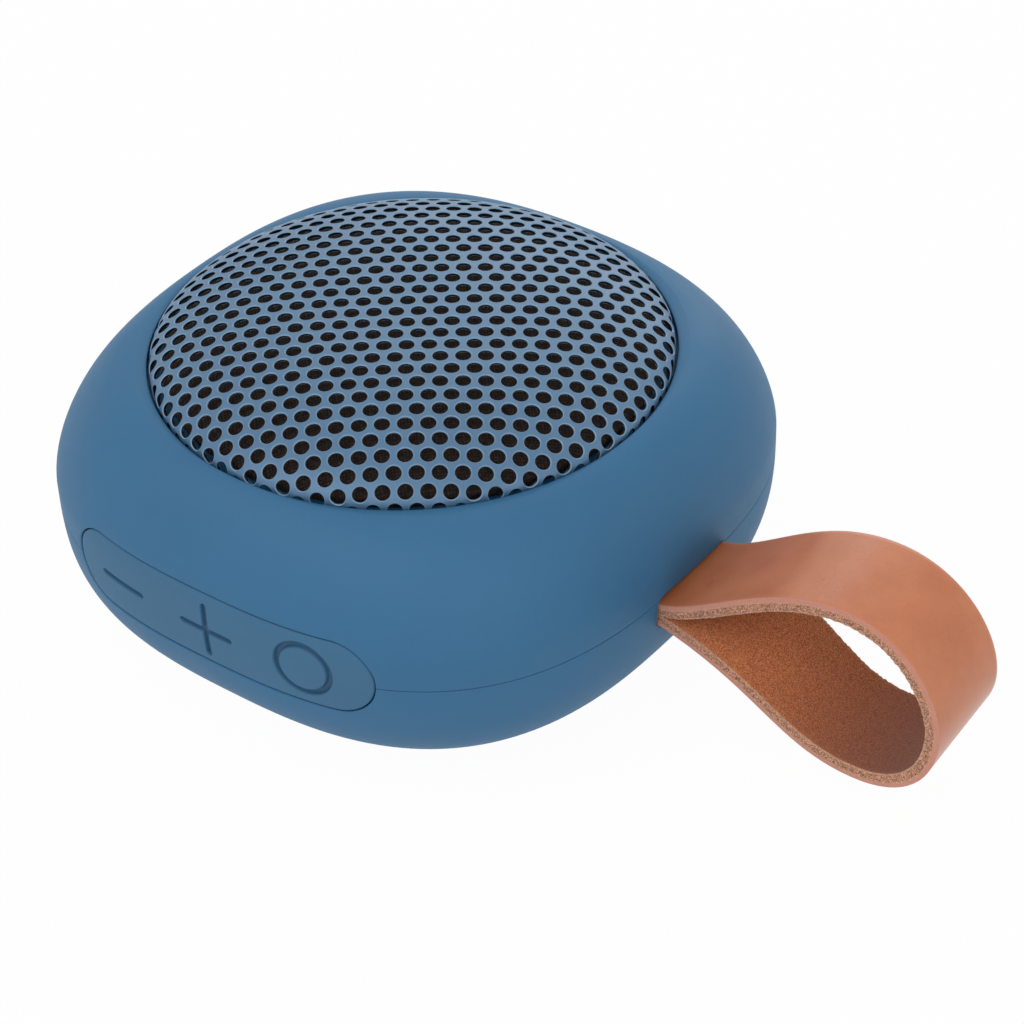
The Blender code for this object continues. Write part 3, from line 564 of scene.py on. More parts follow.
def grille_sheet():
    """The perforated sheet: one eased hole in a hexagon, repeated flat and then domed."""
    along, line = dome_profile()
    clear()
    bpy.ops.mesh.primitive_circle_add(vertices=HOLE_SIDES, radius=HOLE_RADIUS,
                                      location=(0, 0, -HOLE_EASE))
    sheet = bpy.context.object
    sheet.name = sheet.data.name = "grille_sheet"
    bpy.ops.object.transform_apply(location=True)
    edit(sheet)
    bpy.ops.mesh.extrude_region_move(TRANSFORM_OT_translate={"value": (0, 0, HOLE_EASE)})
    bpy.ops.transform.resize(value=(1 + HOLE_EASE / HOLE_RADIUS,) * 2 + (1,))
    bpy.ops.mesh.extrude_region_move()
    bpy.ops.transform.resize(value=(1.2, 1.2, 1))
    clear()
    places = points_of(sheet)
    away = np.hypot(places[:, 0], places[:, 1])
    store(sheet, "from_hole", away / HOLE_RADIUS)
    edge = away > HOLE_RADIUS + HOLE_EASE * 1.5
    angle = np.arctan2(places[:, 1], places[:, 0])
    turn = (angle + math.pi / 6) % (math.pi / 3) - math.pi / 6
    reach = HOLE_PITCH / 2 / np.cos(turn)
    places[edge, 0] = (reach * np.cos(angle))[edge]
    places[edge, 1] = (reach * np.sin(angle))[edge]
    set_points(sheet, places)
    row = HOLE_PITCH * math.sqrt(3) / 2
    edit(sheet)
    bpy.ops.mesh.duplicate_move(TRANSFORM_OT_translate={"value": (HOLE_PITCH / 2, row, 0)})
    clear()
    for count, step in ((HOLE_COLUMNS, (HOLE_PITCH, 0, 0)),
                        (HOLE_ROW_PAIRS, (0, 2 * row, 0))):
        apply(sheet, "ARRAY", count=count, use_relative_offset=False,
              use_constant_offset=True, constant_offset_displace=step)
    places = points_of(sheet)
    places[:, 0] += HOLE_OFFSET[0] - HOLE_COLUMNS / 2 * HOLE_PITCH
    places[:, 1] += HOLE_OFFSET[1] - HOLE_ROW_PAIRS * row
    c, s = math.cos(HOLE_ROWS_TURN), math.sin(HOLE_ROWS_TURN)
    places[:, :2] = places[:, :2] @ np.array([[c, s], [-s, c]])
    set_points(sheet, places)
    edit(sheet)
    bpy.ops.mesh.remove_doubles(threshold=1e-5)
    bpy.ops.mesh.select_all(action="DESELECT")
    clear()
    places = points_of(sheet)
    beyond = np.hypot(places[:, 0], places[:, 1]) > along[-1]
    sheet.data.vertices.foreach_set("select", beyond)
    edit(sheet, whole=False)
    bpy.ops.mesh.delete(type="VERT")
    clear()
    set_points(sheet, on_dome(points_of(sheet), along, line))
    edit(sheet)
    bpy.ops.mesh.normals_make_consistent(inside=False)
    clear()
    if sum(face.normal.z * face.area for face in sheet.data.polygons) < 0:
        edit(sheet)
        bpy.ops.mesh.flip_normals()
        clear()
    for _ in range(2):
        sheet.data.materials.append(None)
    apply(sheet, "SOLIDIFY", thickness=GRILLE_THICKNESS, offset=-1, material_offset_rim=1)
    return smooth(sheet, 40)


def grille_backing():
    """The cloth that lies under the perforated sheet."""
    along, line = dome_profile()
    reach = along[-1] - 0.0002
    levels = 30
    lift = GRILLE_THICKNESS + CLOTH_GAP

    def shape(level, share):
        away = 1e-6 + reach * np.where(level < levels, level, 2 * levels - level) / levels
        depth = np.where(level < levels, -lift, -lift - CLOTH_THICKNESS)
        return on_dome(on_circle(away, share, depth), along, line)
    return smooth(stack("grille_backing", 2 * levels + 1, 96, shape))


sheet = grille_sheet()
backing = grille_backing()


# ---------------------------------------------------------------- foot and port cover
def foot():
    edge = FOOT_RADIUS
    rows = [(1e-6, FOOT_TOP), (edge, FOOT_TOP), (edge, 0.0005), (edge - 0.00015, 0.0002),
            (edge - 0.0005, 0.0), (edge - 0.0022, 0.0), (edge - 0.0024, 0.0003),
            (edge - 0.0030, 0.0003), (edge - 0.0032, 0.0), (0.0120, 0.0), (1e-6, 0.0)]
    return turned("foot_disc", rows, 120, 25)


def surround():
    """The rubber half roll that lets the driver's cone move."""
    middle, rolled, thick, inner, outer = 0.02155, 0.0014, 0.0004, 0.0190, 0.0241
    wide, tight = rolled + thick / 2, rolled - thick / 2
    turns = np.linspace(0, math.pi, 13)
    top = DRIVER_TOP + thick
    over = [(middle + wide * math.cos(a),
             DRIVER_TOP + max(thick, thick / 2 + wide * math.sin(a))) for a in turns]
    under = [(middle + tight * math.cos(a), DRIVER_TOP + tight * math.sin(a))
             for a in turns[::-1]]
    rows = [(outer, top), *over, (inner, top), (inner, DRIVER_TOP), *under,
            (outer, DRIVER_TOP), (outer, top)]
    return turned("cone_surround", rows, 96, 40)


def port_plug():
    ease = 0.00035
    edge = [(-ease * (1 - math.cos(a)), ease * (1 - math.sin(a))) for a in quarter(4)]
    deep, full = 0.0011, -PORT_COVER[1]
    rows = [(full, deep), (-0.0012, deep), (0.0, deep), *edge,
            *((o, 0.0) for o in np.linspace(-ease, full, 10)[1:])]
    return smooth(sunk("port_plug", on_back, (0.0, PORT_Z), PORT_COVER, rows, 120, "open"))


foot_disc = foot()
surround_roll = surround()
plug = port_plug()


# ---------------------------------------------------------------- the leather loop
def bezier(start, lead_out, lead_in, end):
    t = np.linspace(0, 1, 200)[:, None]
    corners = [np.array(p) for p in (start, lead_out, lead_in, end)]
    return (corners[0] * (1 - t) ** 3 + 3 * corners[1] * t * (1 - t) ** 2
            + 3 * corners[2] * t * t * (1 - t) + corners[3] * t ** 3)


# The upper and lower leaves' roots and the points of one edge of the loop, as (x, z), with
# the reach of the curve's handles at each: first the near edge, then the far one.
NEAR_EDGE = {"roots": (0.01935, 0.01745), "rise": 0.00167, "top": (0.07404, 0.03139),
             "top_reach": (0.01126, 0.00905), "tip": (0.08744, 0.01839),
             "tip_reach": (0.00432, 0.00721), "bottom": (0.07564, 0.00642),
             "bottom_reach": (0.00755, 0.01084), "fall": -0.00359}
FAR_EDGE = {"roots": (0.02034, 0.01796), "rise": 0.00135, "top": (0.07292, 0.03209),
            "top_reach": (0.01177, 0.00928), "tip": (0.08710, 0.01873),
            "tip_reach": (0.00563, 0.00619), "bottom": (0.07513, 0.00793),
            "bottom_reach": (0.00626, 0.01104), "fall": 0.00196}
NEAR_Y = -0.00659
FAR_Y = 0.00855
TAIL_END_X = 0.0295
ROOT_LEAD = 0.0073
LOWER_LEAD = 0.0157
LEATHER = 0.00208            # thickness away from the clamp
LEATHER_PRESSED = 0.00024    # how much thinner it is at the mouth
LEATHER_EASE = 0.00013
TUFT, FINE_TUFT = 0.00035, 0.00016   # sizes of the raw leather's tufts
SIDE_FUZZ, CORNER_FUZZ, FLESH_FUZZ = 0.000085, 0.00009, 0.00003    # how far they stand out
STRAP_ROWS = 720
STRAP_FACE = 30              # points across a face, and across a cut edge
STRAP_EDGE = 6
STRAP_AROUND = 2 * (STRAP_FACE + STRAP_EDGE + 2)


def edge_line(edge):
    """One edge's line from the leather's upper end in the case, round to its lower end."""
    upper_root, lower_root = ((HALF_WIDTH, z) for z in edge["roots"])
    mouth = HALF_WIDTH - 0.0003
    (top_x, top_z), (tip_x, tip_z), (low_x, low_z) = edge["top"], edge["tip"], edge["bottom"]
    top_in, top_out = edge["top_reach"]
    tip_in, tip_out = edge["tip_reach"]
    low_in, low_out = edge["bottom_reach"]
    return np.concatenate([
        np.linspace((TAIL_END_X, upper_root[1] - edge["rise"] * 0.2), (mouth, upper_root[1]),
                    60),
        bezier(upper_root, (HALF_WIDTH + ROOT_LEAD, upper_root[1] + edge["rise"]),
               (top_x - top_in, top_z), edge["top"]),
        bezier(edge["top"], (top_x + top_out, top_z), (tip_x, tip_z + tip_in),
               edge["tip"])[1:],
        bezier(edge["tip"], (tip_x, tip_z - tip_out), (low_x + low_in, low_z),
               edge["bottom"])[1:],
        bezier(edge["bottom"], (low_x - low_out, low_z),
               (HALF_WIDTH + LOWER_LEAD, lower_root[1] + edge["fall"]), lower_root)[1:],
        np.linspace((mouth, lower_root[1]), (TAIL_END_X, lower_root[1]), 60),
    ])


def strap_frame():
    """For each row of the leather: both edges' points and outward directions, and length."""
    lines = [edge_line(NEAR_EDGE), edge_line(FAR_EDGE)]
    along = distances((lines[0] + lines[1]) / 2)
    at = np.linspace(0, along[-1], STRAP_ROWS)
    frames = []
    for line in lines:
        spots, ahead, behind = (between(np.clip(at + step, 0, along[-1]), along, line)
                                for step in (0, 0.0006, -0.0006))
        run = ahead - behind
        run /= np.linalg.norm(run, axis=1, keepdims=True)
        frames.append((spots, np.stack([-run[:, 1], run[:, 0]], 1)))
    return frames, at


def section():
    """The leather's cut, going round: across from -1 to 1, and out from -1 to 1."""
    ease_w, ease_t = LEATHER_EASE / (FAR_Y - NEAR_Y) * 2, LEATHER_EASE / LEATHER * 2
    face = np.linspace(1 - ease_w, -1 + ease_w, STRAP_FACE)
    edge = np.linspace(1 - ease_t, -1 + ease_t, STRAP_EDGE)
    corner = 0.3
    half = [*((across, 1.0) for across in face),
            (-1 + ease_w * corner, 1 - ease_t * corner), *((-1.0, out) for out in edge),
            (-1 + ease_w * corner, -1 + ease_t * corner)]
    return np.array(half + [(-across, -out) for across, out in half])


def ragged(place, size):
    return noise.noise(Vector(place) / size)


def strap():
    """The leather as one tube of rows, with its flat place stored on every point."""
    frames, at = strap_frame()
    spots = section()
    clear()
    bpy.ops.mesh.primitive_grid_add(x_subdivisions=STRAP_AROUND,
                                    y_subdivisions=STRAP_ROWS - 1, size=2)
    obj = bpy.context.object
    obj.name = obj.data.name = "leather_loop"
    x, y, _ = points_of(obj).T
    turn = np.rint((x + 1) / 2 * STRAP_AROUND).astype(int) % STRAP_AROUND
    row = np.rint((y + 1) / 2 * (STRAP_ROWS - 1)).astype(int)
    across, out = spots[turn].T
    share = (across + 1) / 2
    near, far = frames
    middle = near[0][row] * (1 - share)[:, None] + far[0][row] * share[:, None]
    facing = near[1][row] * (1 - share)[:, None] + far[1][row] * share[:, None]
    pressed = LEATHER_PRESSED * np.exp(-np.maximum(middle[:, 0] - HALF_WIDTH, 0) / 0.005)
    lift = out * (LEATHER - pressed) / 2
    spot = middle + facing * lift[:, None]
    width = NEAR_Y * (1 - share) + FAR_Y * share
    flat = np.stack([at[row], width - (NEAR_Y + FAR_Y) / 2, (1 - out) / 2 * LEATHER], 1)
    places = np.stack([spot[:, 0], width, spot[:, 1]], 1)
    cut_edge = np.abs(across) > 0.985
    fleshy = out < 0.25
    for k in np.nonzero(cut_edge | fleshy)[0]:
        fuzz = ragged(flat[k], TUFT) + 0.6 * ragged(flat[k], FINE_TUFT)
        if cut_edge[k] and fleshy[k]:
            places[k, 1] += SIDE_FUZZ * fuzz * (1 if across[k] > 0 else -1)
        if out[k] < -0.9:
            amount = CORNER_FUZZ if cut_edge[k] else FLESH_FUZZ
            places[k, 0] -= facing[k, 0] * amount * (fuzz + 0.3 * cut_edge[k])
            places[k, 2] -= facing[k, 1] * amount * (fuzz + 0.3 * cut_edge[k])
    set_points(obj, places)
    store(obj, "flat_place", flat, "FLOAT_VECTOR")
    for face in obj.data.polygons:
        ids = list(face.vertices)
        if np.abs(across[ids]).min() > 0.97:
            face.material_index = 1
        else:
            face.material_index = 0 if out[ids].mean() > 0 else 2
    edit(obj)
    bpy.ops.mesh.remove_doubles(threshold=MERGE)
    fill_open_ends()
    bpy.ops.mesh.normals_make_consistent(inside=False)
    clear()
    return obj, at[-1]


loop, strap_length = strap()
smooth(loop, 50)
print("strap length", round(strap_length, 4))


# ---------------------------------------------------------------- shading helpers
def feed(tree, made, inputs):
    """Give a node its inputs: a socket is joined, and anything else is a plain value."""
    for key, value in inputs.items():
        if isinstance(value, bpy.types.NodeSocket):
            tree.links.new(value, made.inputs[key])
        else:
            made.inputs[key].default_value = value


def node(tree, kind, inputs=None, **settings):
    made = tree.nodes.new(kind)
    for key, value in settings.items():
        setattr(made, key, value)
    feed(tree, made, inputs or {})
    return made


# The next ones build in the tree of the socket that they are given first.
def mixed(factor, a, b):
    return node(factor.id_data, "ShaderNodeMix", {0: factor, 6: a, 7: b},
                data_type="RGBA").outputs[2]


def sums(how, *values):
    return node(values[0].id_data, "ShaderNodeMath", dict(enumerate(values)),
                operation=how).outputs[0]


def ramp(value, low, high, to_low=0.0, to_high=1.0):
    return node(value.id_data, "ShaderNodeMapRange",
                {"Value": value, "From Min": low, "From Max": high, "To Min": to_low,
                 "To Max": to_high}, interpolation_type="SMOOTHSTEP").outputs[0]


def srgb(r, g, b):
    """A colour as it is seen, from 0 to 255, in linear light."""
    linear = []
    for value in (r, g, b):
        value /= 255
        linear.append(value / 12.92 if value <= 0.04045 else ((value + 0.055) / 1.055) ** 2.4)
    return (*linear, 1.0)


def grain_noise(place, scale, detail=2.0, roughness=0.5, distortion=0.0):
    return node(place.id_data, "ShaderNodeTexNoise",
                {"Vector": place, "Scale": scale, "Detail": detail, "Roughness": roughness,
                 "Distortion": distortion}).outputs


def cells(place, scale, feature="F1"):
    return node(place.id_data, "ShaderNodeTexVoronoi", {"Vector": place, "Scale": scale},
                feature=feature).outputs


def parts_of(value, kind="XYZ"):
    """The three parts of a vector, or of a colour."""
    title = "Vector" if kind == "XYZ" else "Color"
    return node(value.id_data, "ShaderNodeSeparate" + kind, {title: value}).outputs


def stored(tree, name, output="Fac"):
    return node(tree, "ShaderNodeAttribute", attribute_name=name).outputs[output]


def group(name, inputs, outputs):
    """A shared effect; its inputs have a default or the name of a kind, its outputs a kind."""
    tree = bpy.data.node_groups.new(name, "ShaderNodeTree")
    for title, given in inputs.items():
        kind = given if isinstance(given, str) else "Float"
        socket = tree.interface.new_socket(title, in_out="INPUT",
                                           socket_type="NodeSocket" + kind)
        if kind == "Float":
            socket.default_value = given
    for title, kind in outputs.items():
        tree.interface.new_socket(title, in_out="OUTPUT", socket_type="NodeSocket" + kind)
    take = tree.nodes.new("NodeGroupInput").outputs
    return tree, take, tree.nodes.new("NodeGroupOutput")


def send(tree, end, **values):
    for title, value in values.items():
        tree.links.new(value, end.inputs[title])
    return tree


def mottle_group():
    """Slow drifting tone between two colours, with a finer tone over it."""
    tree, take, end = group("mottle", {"Place": "Vector", "Colour": "Color",
                                       "Second": "Color", "Scale": 60.0, "Fine": 1500.0},
                            {"Colour": "Color", "Tone": "Float"})
    slow = grain_noise(take["Place"], take["Scale"], 3.0, 0.55)[0]
    fine = grain_noise(take["Place"], take["Fine"])[0]
    tone = sums("ADD", slow, sums("MULTIPLY", fine, 0.35))
    tone = ramp(tone, 0.42, 0.93)
    return send(tree, end, Colour=mixed(tone, take["Colour"], take["Second"]),
                Tone=tone)


def dust_group():
    """Sparse pale specks of dust: a mask."""
    tree, take, end = group("dust", {"Place": "Vector", "Scale": 260.0, "Size": 0.030,
                                     "Share": 0.12}, {"Mask": "Float"})
    specks = cells(take["Place"], take["Scale"])
    chosen = parts_of(specks["Color"], "Color")
    few = sums("LESS_THAN", chosen[0], take["Share"])
    size = sums("MULTIPLY", chosen[1], take["Size"])
    near = sums("LESS_THAN", specks["Distance"], size)
    return send(tree, end, Mask=sums("MULTIPLY", few, near))


def grain_group():
    """Fine moulded or sprayed texture: a height from 0 to 1."""
    tree, take, end = group("grain", {"Place": "Vector", "Scale": 3000.0, "Coarse": 0.35},
                            {"Height": "Float"})
    fine = grain_noise(take["Place"], take["Scale"], 3.0, 0.6)[0]
    wide_scale = sums("MULTIPLY", take["Scale"], 0.16)
    wide = grain_noise(take["Place"], wide_scale)[0]
    height = node(tree, "ShaderNodeMix", {0: take["Coarse"], 2: fine, 3: wide},
                  data_type="FLOAT")
    return send(tree, end, Height=height.outputs[0])


def weave_group():
    """Plain woven threads: a height, and a tone that varies thread by thread."""
    tree, take, end = group("weave", {"Place": "Vector", "Scale": 2500.0},
                            {"Height": "Float", "Tone": "Float"})
    sized = node(tree, "ShaderNodeVectorMath", {0: take["Place"], "Scale": take["Scale"]},
                 operation="SCALE").outputs[0]
    warp, weft = (sums("SINE", sums("MULTIPLY", part, math.pi))
                  for part in parts_of(sized)[:2])
    height = ramp(sums("MULTIPLY", warp, weft), -0.6, 0.8)
    return send(tree, end, Height=height, Tone=grain_noise(sized, 0.5, 3.0)[0])


def hide_group():
    """Leather's finished face: pores and fine creases, as a height and a tone."""
    tree, take, end = group("hide", {"Place": "Vector", "Pore": 1800.0, "Crease": 420.0},
                            {"Height": "Float", "Tone": "Float"})
    warp = grain_noise(take["Place"], 700.0, 3.0)["Color"]
    bent = node(tree, "ShaderNodeVectorMath", {0: warp, 1: (0.0007,) * 3, 2: take["Place"]},
                operation="MULTIPLY_ADD").outputs[0]
    pebble = ramp(cells(bent, take["Pore"], "DISTANCE_TO_EDGE")[0], 0.0, 0.20)
    fold = ramp(cells(bent, take["Crease"], "DISTANCE_TO_EDGE")[0], 0.0, 0.10)
    height = sums("ADD", sums("MULTIPLY", fold, 0.55), sums("MULTIPLY", pebble, 0.45))
    slow = grain_noise(take["Place"], 110.0, 4.0, 0.6)[0]
    return send(tree, end, Height=height, Tone=slow)


def fibre_group():
    """Loose leather fibres: a height, a tone that varies tuft by tuft, and flecks."""
    tree, take, end = group("fibre", {"Place": "Vector", "Scale": 2200.0},
                            {"Height": "Float", "Tone": "Float", "Fleck": "Float"})
    fine = grain_noise(take["Place"], take["Scale"], 5.0, 0.75, 0.8)[0]
    tufts = cells(take["Place"], take["Scale"])
    picked = parts_of(tufts["Color"], "Color")
    fleck = ramp(tufts["Distance"], 0.22, 0.48, 1.0, 0.0)
    fleck = sums("MULTIPLY", fleck, ramp(picked[0], 0.35, 0.75))
    tone = sums("ADD", sums("MULTIPLY", fine, 0.55),
                sums("MULTIPLY", picked[1], 0.45))
    return send(tree, end, Height=fine, Tone=tone, Fleck=fleck)


MOTTLE, DUST, GRAIN = mottle_group(), dust_group(), grain_group()
WEAVE, HIDE, FIBRE = weave_group(), hide_group(), fibre_group()


def use(tree, shared, **inputs):
    return node(tree, "ShaderNodeGroup", inputs, node_tree=shared).outputs


def mix_in(share, colour, other, most):
    """Some of another colour, up to a largest share of it."""
    return mixed(sums("MULTIPLY", share, most), colour, other)


def finish_named(name):
    """A new material, with its shader and the piece's own coordinates."""
    made = bpy.data.materials.new(name)
    made.use_nodes = True
    tree = made.node_tree
    shader = tree.nodes["Principled BSDF"]
    place = tree.nodes.new("ShaderNodeTexCoord").outputs["Object"]
    return made, tree, shader, place


def surface(tree, shader, colour, rough, height, depth, **others):
    """Set the shader's colour, roughness and relief, and anything else by its name."""
    relief = node(tree, "ShaderNodeBump", {"Height": height, "Distance": depth,
                                           "Strength": 1.0}).outputs[0]
    feed(tree, shader, {"Base Color": colour, "Roughness": rough, "Normal": relief})
    feed(tree, shader, {key.replace("_", " "): value for key, value in others.items()})


def repaint(material, change):
    """Give a painted finish a colour that is made from its own."""
    tree = material.node_tree
    base = tree.nodes["Principled BSDF"].inputs["Base Color"]
    tree.links.new(change(tree, base.links[0].from_socket), base)
    return material


def painted(name, colour, second, roughness, grain=3000.0, depth=0.00002, specks=0.10,
            metallic=0.0, slow=60.0):
    """Matte paint or soft-touch skin: drifting tone, fine grain and dust."""
    made, tree, shader, place = finish_named(name)
    tone = use(tree, MOTTLE, Place=place, Colour=colour, Second=second, Scale=slow,
               Fine=grain * 0.4)
    dust = use(tree, DUST, Place=place, Share=specks)
    colour = mix_in(dust["Mask"], tone["Colour"], srgb(205, 215, 225), 0.55)
    rough = ramp(tone["Tone"], 0.0, 1.0, roughness - 0.04, roughness + 0.05)
    height = use(tree, GRAIN, Place=place, Scale=grain)["Height"]
    surface(tree, shader, colour, rough, height, depth, Metallic=metallic)
    return made


case_blue = painted("case_blue_finish", srgb(37, 97, 137), srgb(42, 102, 141), 0.60)
# Painted shade: the walls of the grille's holes get a near-black colour for the shade inside
# them.
hole_wall_shade = painted("hole_wall_painted_shade", srgb(14, 20, 28), srgb(24, 34, 45), 0.6, grain=5200.0,
                  specks=0.0)


def painted_groove_shade(tree, colour):
    """Painted shade: the key skin's colour is darkened down in its engraved lines, where shade
    falls.
    """
    deep = ramp(stored(tree, "sunk"), 0.00014, 0.00050, 0.0, 0.62)
    return mixed(deep, colour, srgb(20, 66, 100))


def hole_rims_wear_and_painted_light(tree, colour):
    """Round the holes: a pale ring that is partly thinner, paler paint and partly painted
    highlight, and painted shade at their very edge.
    """
    away = stored(tree, "from_hole")
    # Partly worn paint and partly painted highlight: a pale ring round each hole.
    pale = mixed(ramp(away, 1.09, 1.18, 0.58, 0.0), colour, srgb(140, 170, 196))
    # Painted shade at the holes' very edge.
    return mixed(ramp(away, 1.00, 1.07, 0.80, 0.0), pale, srgb(28, 48, 70))


strip_blue = repaint(painted("strip_blue_finish", srgb(46, 97, 131), srgb(53, 103, 137),
                             0.66, grain=4200.0), painted_groove_shade)
grille_blue = repaint(painted("grille_blue_finish", srgb(76, 112, 144),
                              srgb(84, 120, 151), 0.42, grain=5200.0, depth=0.000012,
                              metallic=0.15), hole_rims_wear_and_painted_light)
plug_blue = painted("plug_blue_finish", srgb(48, 99, 133), srgb(55, 105, 139), 0.70)


def woven_finish(name, colour, second, low, gap, dark, roughness, scale, depth):
    """Threads that drift between two colours, with painted shade darkening the gaps between
    them.
    """
    made, tree, shader, place = finish_named(name)
    weave = use(tree, WEAVE, Place=place, Scale=scale)
    threads = mixed(ramp(weave["Tone"], low, 0.7), colour, second)
    threads = mixed(ramp(weave["Height"], 0.0, 1.0, gap, 0.0), threads, dark)
    surface(tree, shader, threads, roughness, weave["Height"], depth)
    return made


def leather_face(tree, parts, place, rim):
    """The finished side: creased, smooth, and paler toward its cut edges."""
    hide = use(tree, HIDE, Place=place)
    colour = mixed(ramp(hide["Tone"], 0.30, 0.70), srgb(184, 107, 68), srgb(194, 119, 80))
    # Painted shade: a little darker down in the creases and pores.
    colour = mixed(ramp(hide["Height"], 0.2, 0.9, 0.06, 0.0), colour, srgb(150, 84, 52))
    colour = mix_in(rim, colour, srgb(214, 138, 112), 0.30)
    return colour, ramp(hide["Tone"], 0.3, 0.7, 0.27, 0.33), hide["Height"], 0.000006


def leather_edge(tree, parts, place, rim):
    """The cut edge: edge paint under the face, then raw cork-like leather and a pale lip."""
    layer = sums("DIVIDE", parts[2], LEATHER)
    fibre = use(tree, FIBRE, Place=place, Scale=6800.0)
    cork = mixed(ramp(fibre["Tone"], 0.30, 0.70), srgb(128, 66, 38), srgb(244, 176, 134))
    cork = mix_in(fibre["Fleck"], cork, srgb(84, 44, 26), 0.75)
    cork = mixed(ramp(layer, 0.84, 0.94, 0.0, 0.40), cork, srgb(232, 184, 148))
    paint = mixed(fibre["Tone"], srgb(208, 132, 106), srgb(230, 158, 134))
    border = sums("ADD", layer, sums("MULTIPLY_ADD", fibre["Tone"], 0.30, -0.15))
    colour = mixed(ramp(border, 0.30, 0.40), paint, cork)
    return colour, ramp(layer, 0.3, 0.5, 0.55, 0.88), fibre["Height"], 0.00022


def leather_flesh(tree, parts, place, rim):
    """The loop's inner side: raw fibres, with painted shade, darker along the upper run and
    round its tip and fading out along the lower run.
    """
    fibre = use(tree, FIBRE, Place=place, Scale=9000.0)
    colour = mixed(ramp(fibre["Tone"], 0.25, 0.75), srgb(176, 80, 32),
                   srgb(255, 154, 88))
    colour = mix_in(fibre["Fleck"], colour, srgb(255, 196, 140), 0.38)
    # Painted shade inside the loop, by the distance along the strap.
    shade_along = node(tree, "ShaderNodeMapRange", {0: parts[0], 1: 0.078, 2: 0.112}).outputs[0]
    colour = mixed(ramp(shade_along, 0.0, 1.0, 0.72, 0.0), colour, srgb(104, 34, 6))
    colour = mix_in(rim, colour, srgb(214, 150, 108), 0.20)
    return colour, ramp(fibre["Tone"], 0.2, 0.8, 0.85, 0.97), fibre["Height"], 0.00028


def leather_finish(name, look, **others):
    """One side of the leather; it reads the strap's own flat place."""
    made, tree, shader, _ = finish_named(name)
    place = stored(tree, "flat_place", "Vector")
    parts = parts_of(place)
    rim = ramp(sums("ABSOLUTE", parts[1]), 0.0068, 0.0075)
    surface(tree, shader, *look(tree, parts, place, rim), **others)
    return made


def metal_finish(name, colour, second, roughness, metallic=1.0):
    """Drawn or plated metal with slight tarnish."""
    made, tree, shader, place = finish_named(name)
    tone = use(tree, MOTTLE, Place=place, Colour=colour, Second=second, Scale=420.0,
               Fine=5200.0)
    rough = ramp(tone["Tone"], 0.0, 1.0, roughness - 0.07, roughness + 0.10)
    height = use(tree, GRAIN, Place=place, Scale=9000.0)["Height"]
    surface(tree, shader, tone["Colour"], rough, height, 0.000008, Metallic=metallic)
    return made


finishes = {
    "case_blue": case_blue,
    "strip_blue": strip_blue,
    "grille_blue": grille_blue,
    "leather_tan": painted("leather_plain", srgb(176, 108, 76), srgb(198, 134, 104), 0.5,
                           grain=1800.0, depth=0.00006, specks=0.0),
    "cloth_black": woven_finish("cloth_finish", srgb(36, 27, 23), srgb(74, 57, 49), 0.35,
                                0.75, srgb(16, 12, 11), 0.95, 3200.0, 0.00012),
    "rubber_black": painted("rubber_finish", srgb(30, 30, 32), srgb(42, 42, 44), 0.78,
                            grain=1600.0, depth=0.00005, specks=0.05),
    "steel": metal_finish("steel_finish", srgb(176, 178, 182), srgb(205, 206, 208), 0.32),
    "screw_black": metal_finish("screw_finish", srgb(38, 38, 41), srgb(66, 66, 70), 0.38,
                                0.9),
    "ferrite": painted("ferrite_finish", srgb(46, 46, 49), srgb(60, 60, 64), 0.62,
                       grain=2600.0, depth=0.00004, specks=0.02),
    "cone_paper": painted("cone_finish", srgb(30, 30, 32), srgb(44, 43, 44), 0.85,
                          grain=1500.0, depth=0.00008, specks=0.04),
    "copper": metal_finish("copper_finish", srgb(188, 116, 78), srgb(214, 146, 108), 0.34),
    "board_green": painted("board_finish", srgb(20, 84, 62), srgb(30, 100, 74), 0.42,
                           grain=1100.0, depth=0.00003, specks=0.03, slow=240.0),
    "cell_wrap": metal_finish("cell_finish", srgb(176, 178, 182), srgb(196, 198, 202), 0.4,
                              0.6),
    "plastic_black": painted("black_plastic_finish", srgb(32, 32, 34), srgb(44, 44, 46),
                             0.48, grain=2400.0, specks=0.04),
    "foam_black": painted("foam_finish", srgb(38, 38, 39), srgb(60, 60, 60), 0.96,
                          grain=1300.0, depth=0.00025, specks=0.0),
    "lead_red": painted("lead_finish", srgb(168, 38, 30), srgb(190, 54, 44), 0.45,
                        grain=2600.0, specks=0.02),
    "spider_tan": woven_finish("spider_finish", srgb(176, 140, 84), srgb(206, 172, 116),
                               0.3, 0.5, (*(c * 0.35 for c in srgb(176, 140, 84)[:3]), 1.0),
                               0.88, 1400.0, 0.00015),
}


def dress(obj, *materials):
    obj.data.materials.clear()
    for material in materials:
        obj.data.materials.append(material)


# Every node of the part keeps its own finish, by the name of its slot.
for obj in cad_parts.values():
    for place in obj.material_slots:
        base = place.material.name.split(".")[0] if place.material else "plastic_black"
        place.material = finishes.get(base, finishes["plastic_black"])

for obj, material in ((upper, case_blue), (lower, case_blue),
                      (backing, finishes["cloth_black"]), (plug, plug_blue),
                      (foot_disc, finishes["rubber_black"]),
                      (surround_roll, finishes["rubber_black"])):
    dress(obj, material)
for piece in strips.values():
    dress(piece, strip_blue)
sheet.data.materials[0] = grille_blue
# The holes' walls get the painted shade.
sheet.data.materials[1] = hole_wall_shade

indices = [face.material_index for face in loop.data.polygons]
fuzzy = {"Sheen_Weight": 0.25, "Sheen_Roughness": 0.5}
dress(loop, leather_finish("leather_face", leather_face),
      leather_finish("leather_edge", leather_edge, **fuzzy),
      leather_finish("leather_flesh", leather_flesh, Specular_IOR_Level=0.15, **fuzzy))
loop.data.polygons.foreach_set("material_index", indices)


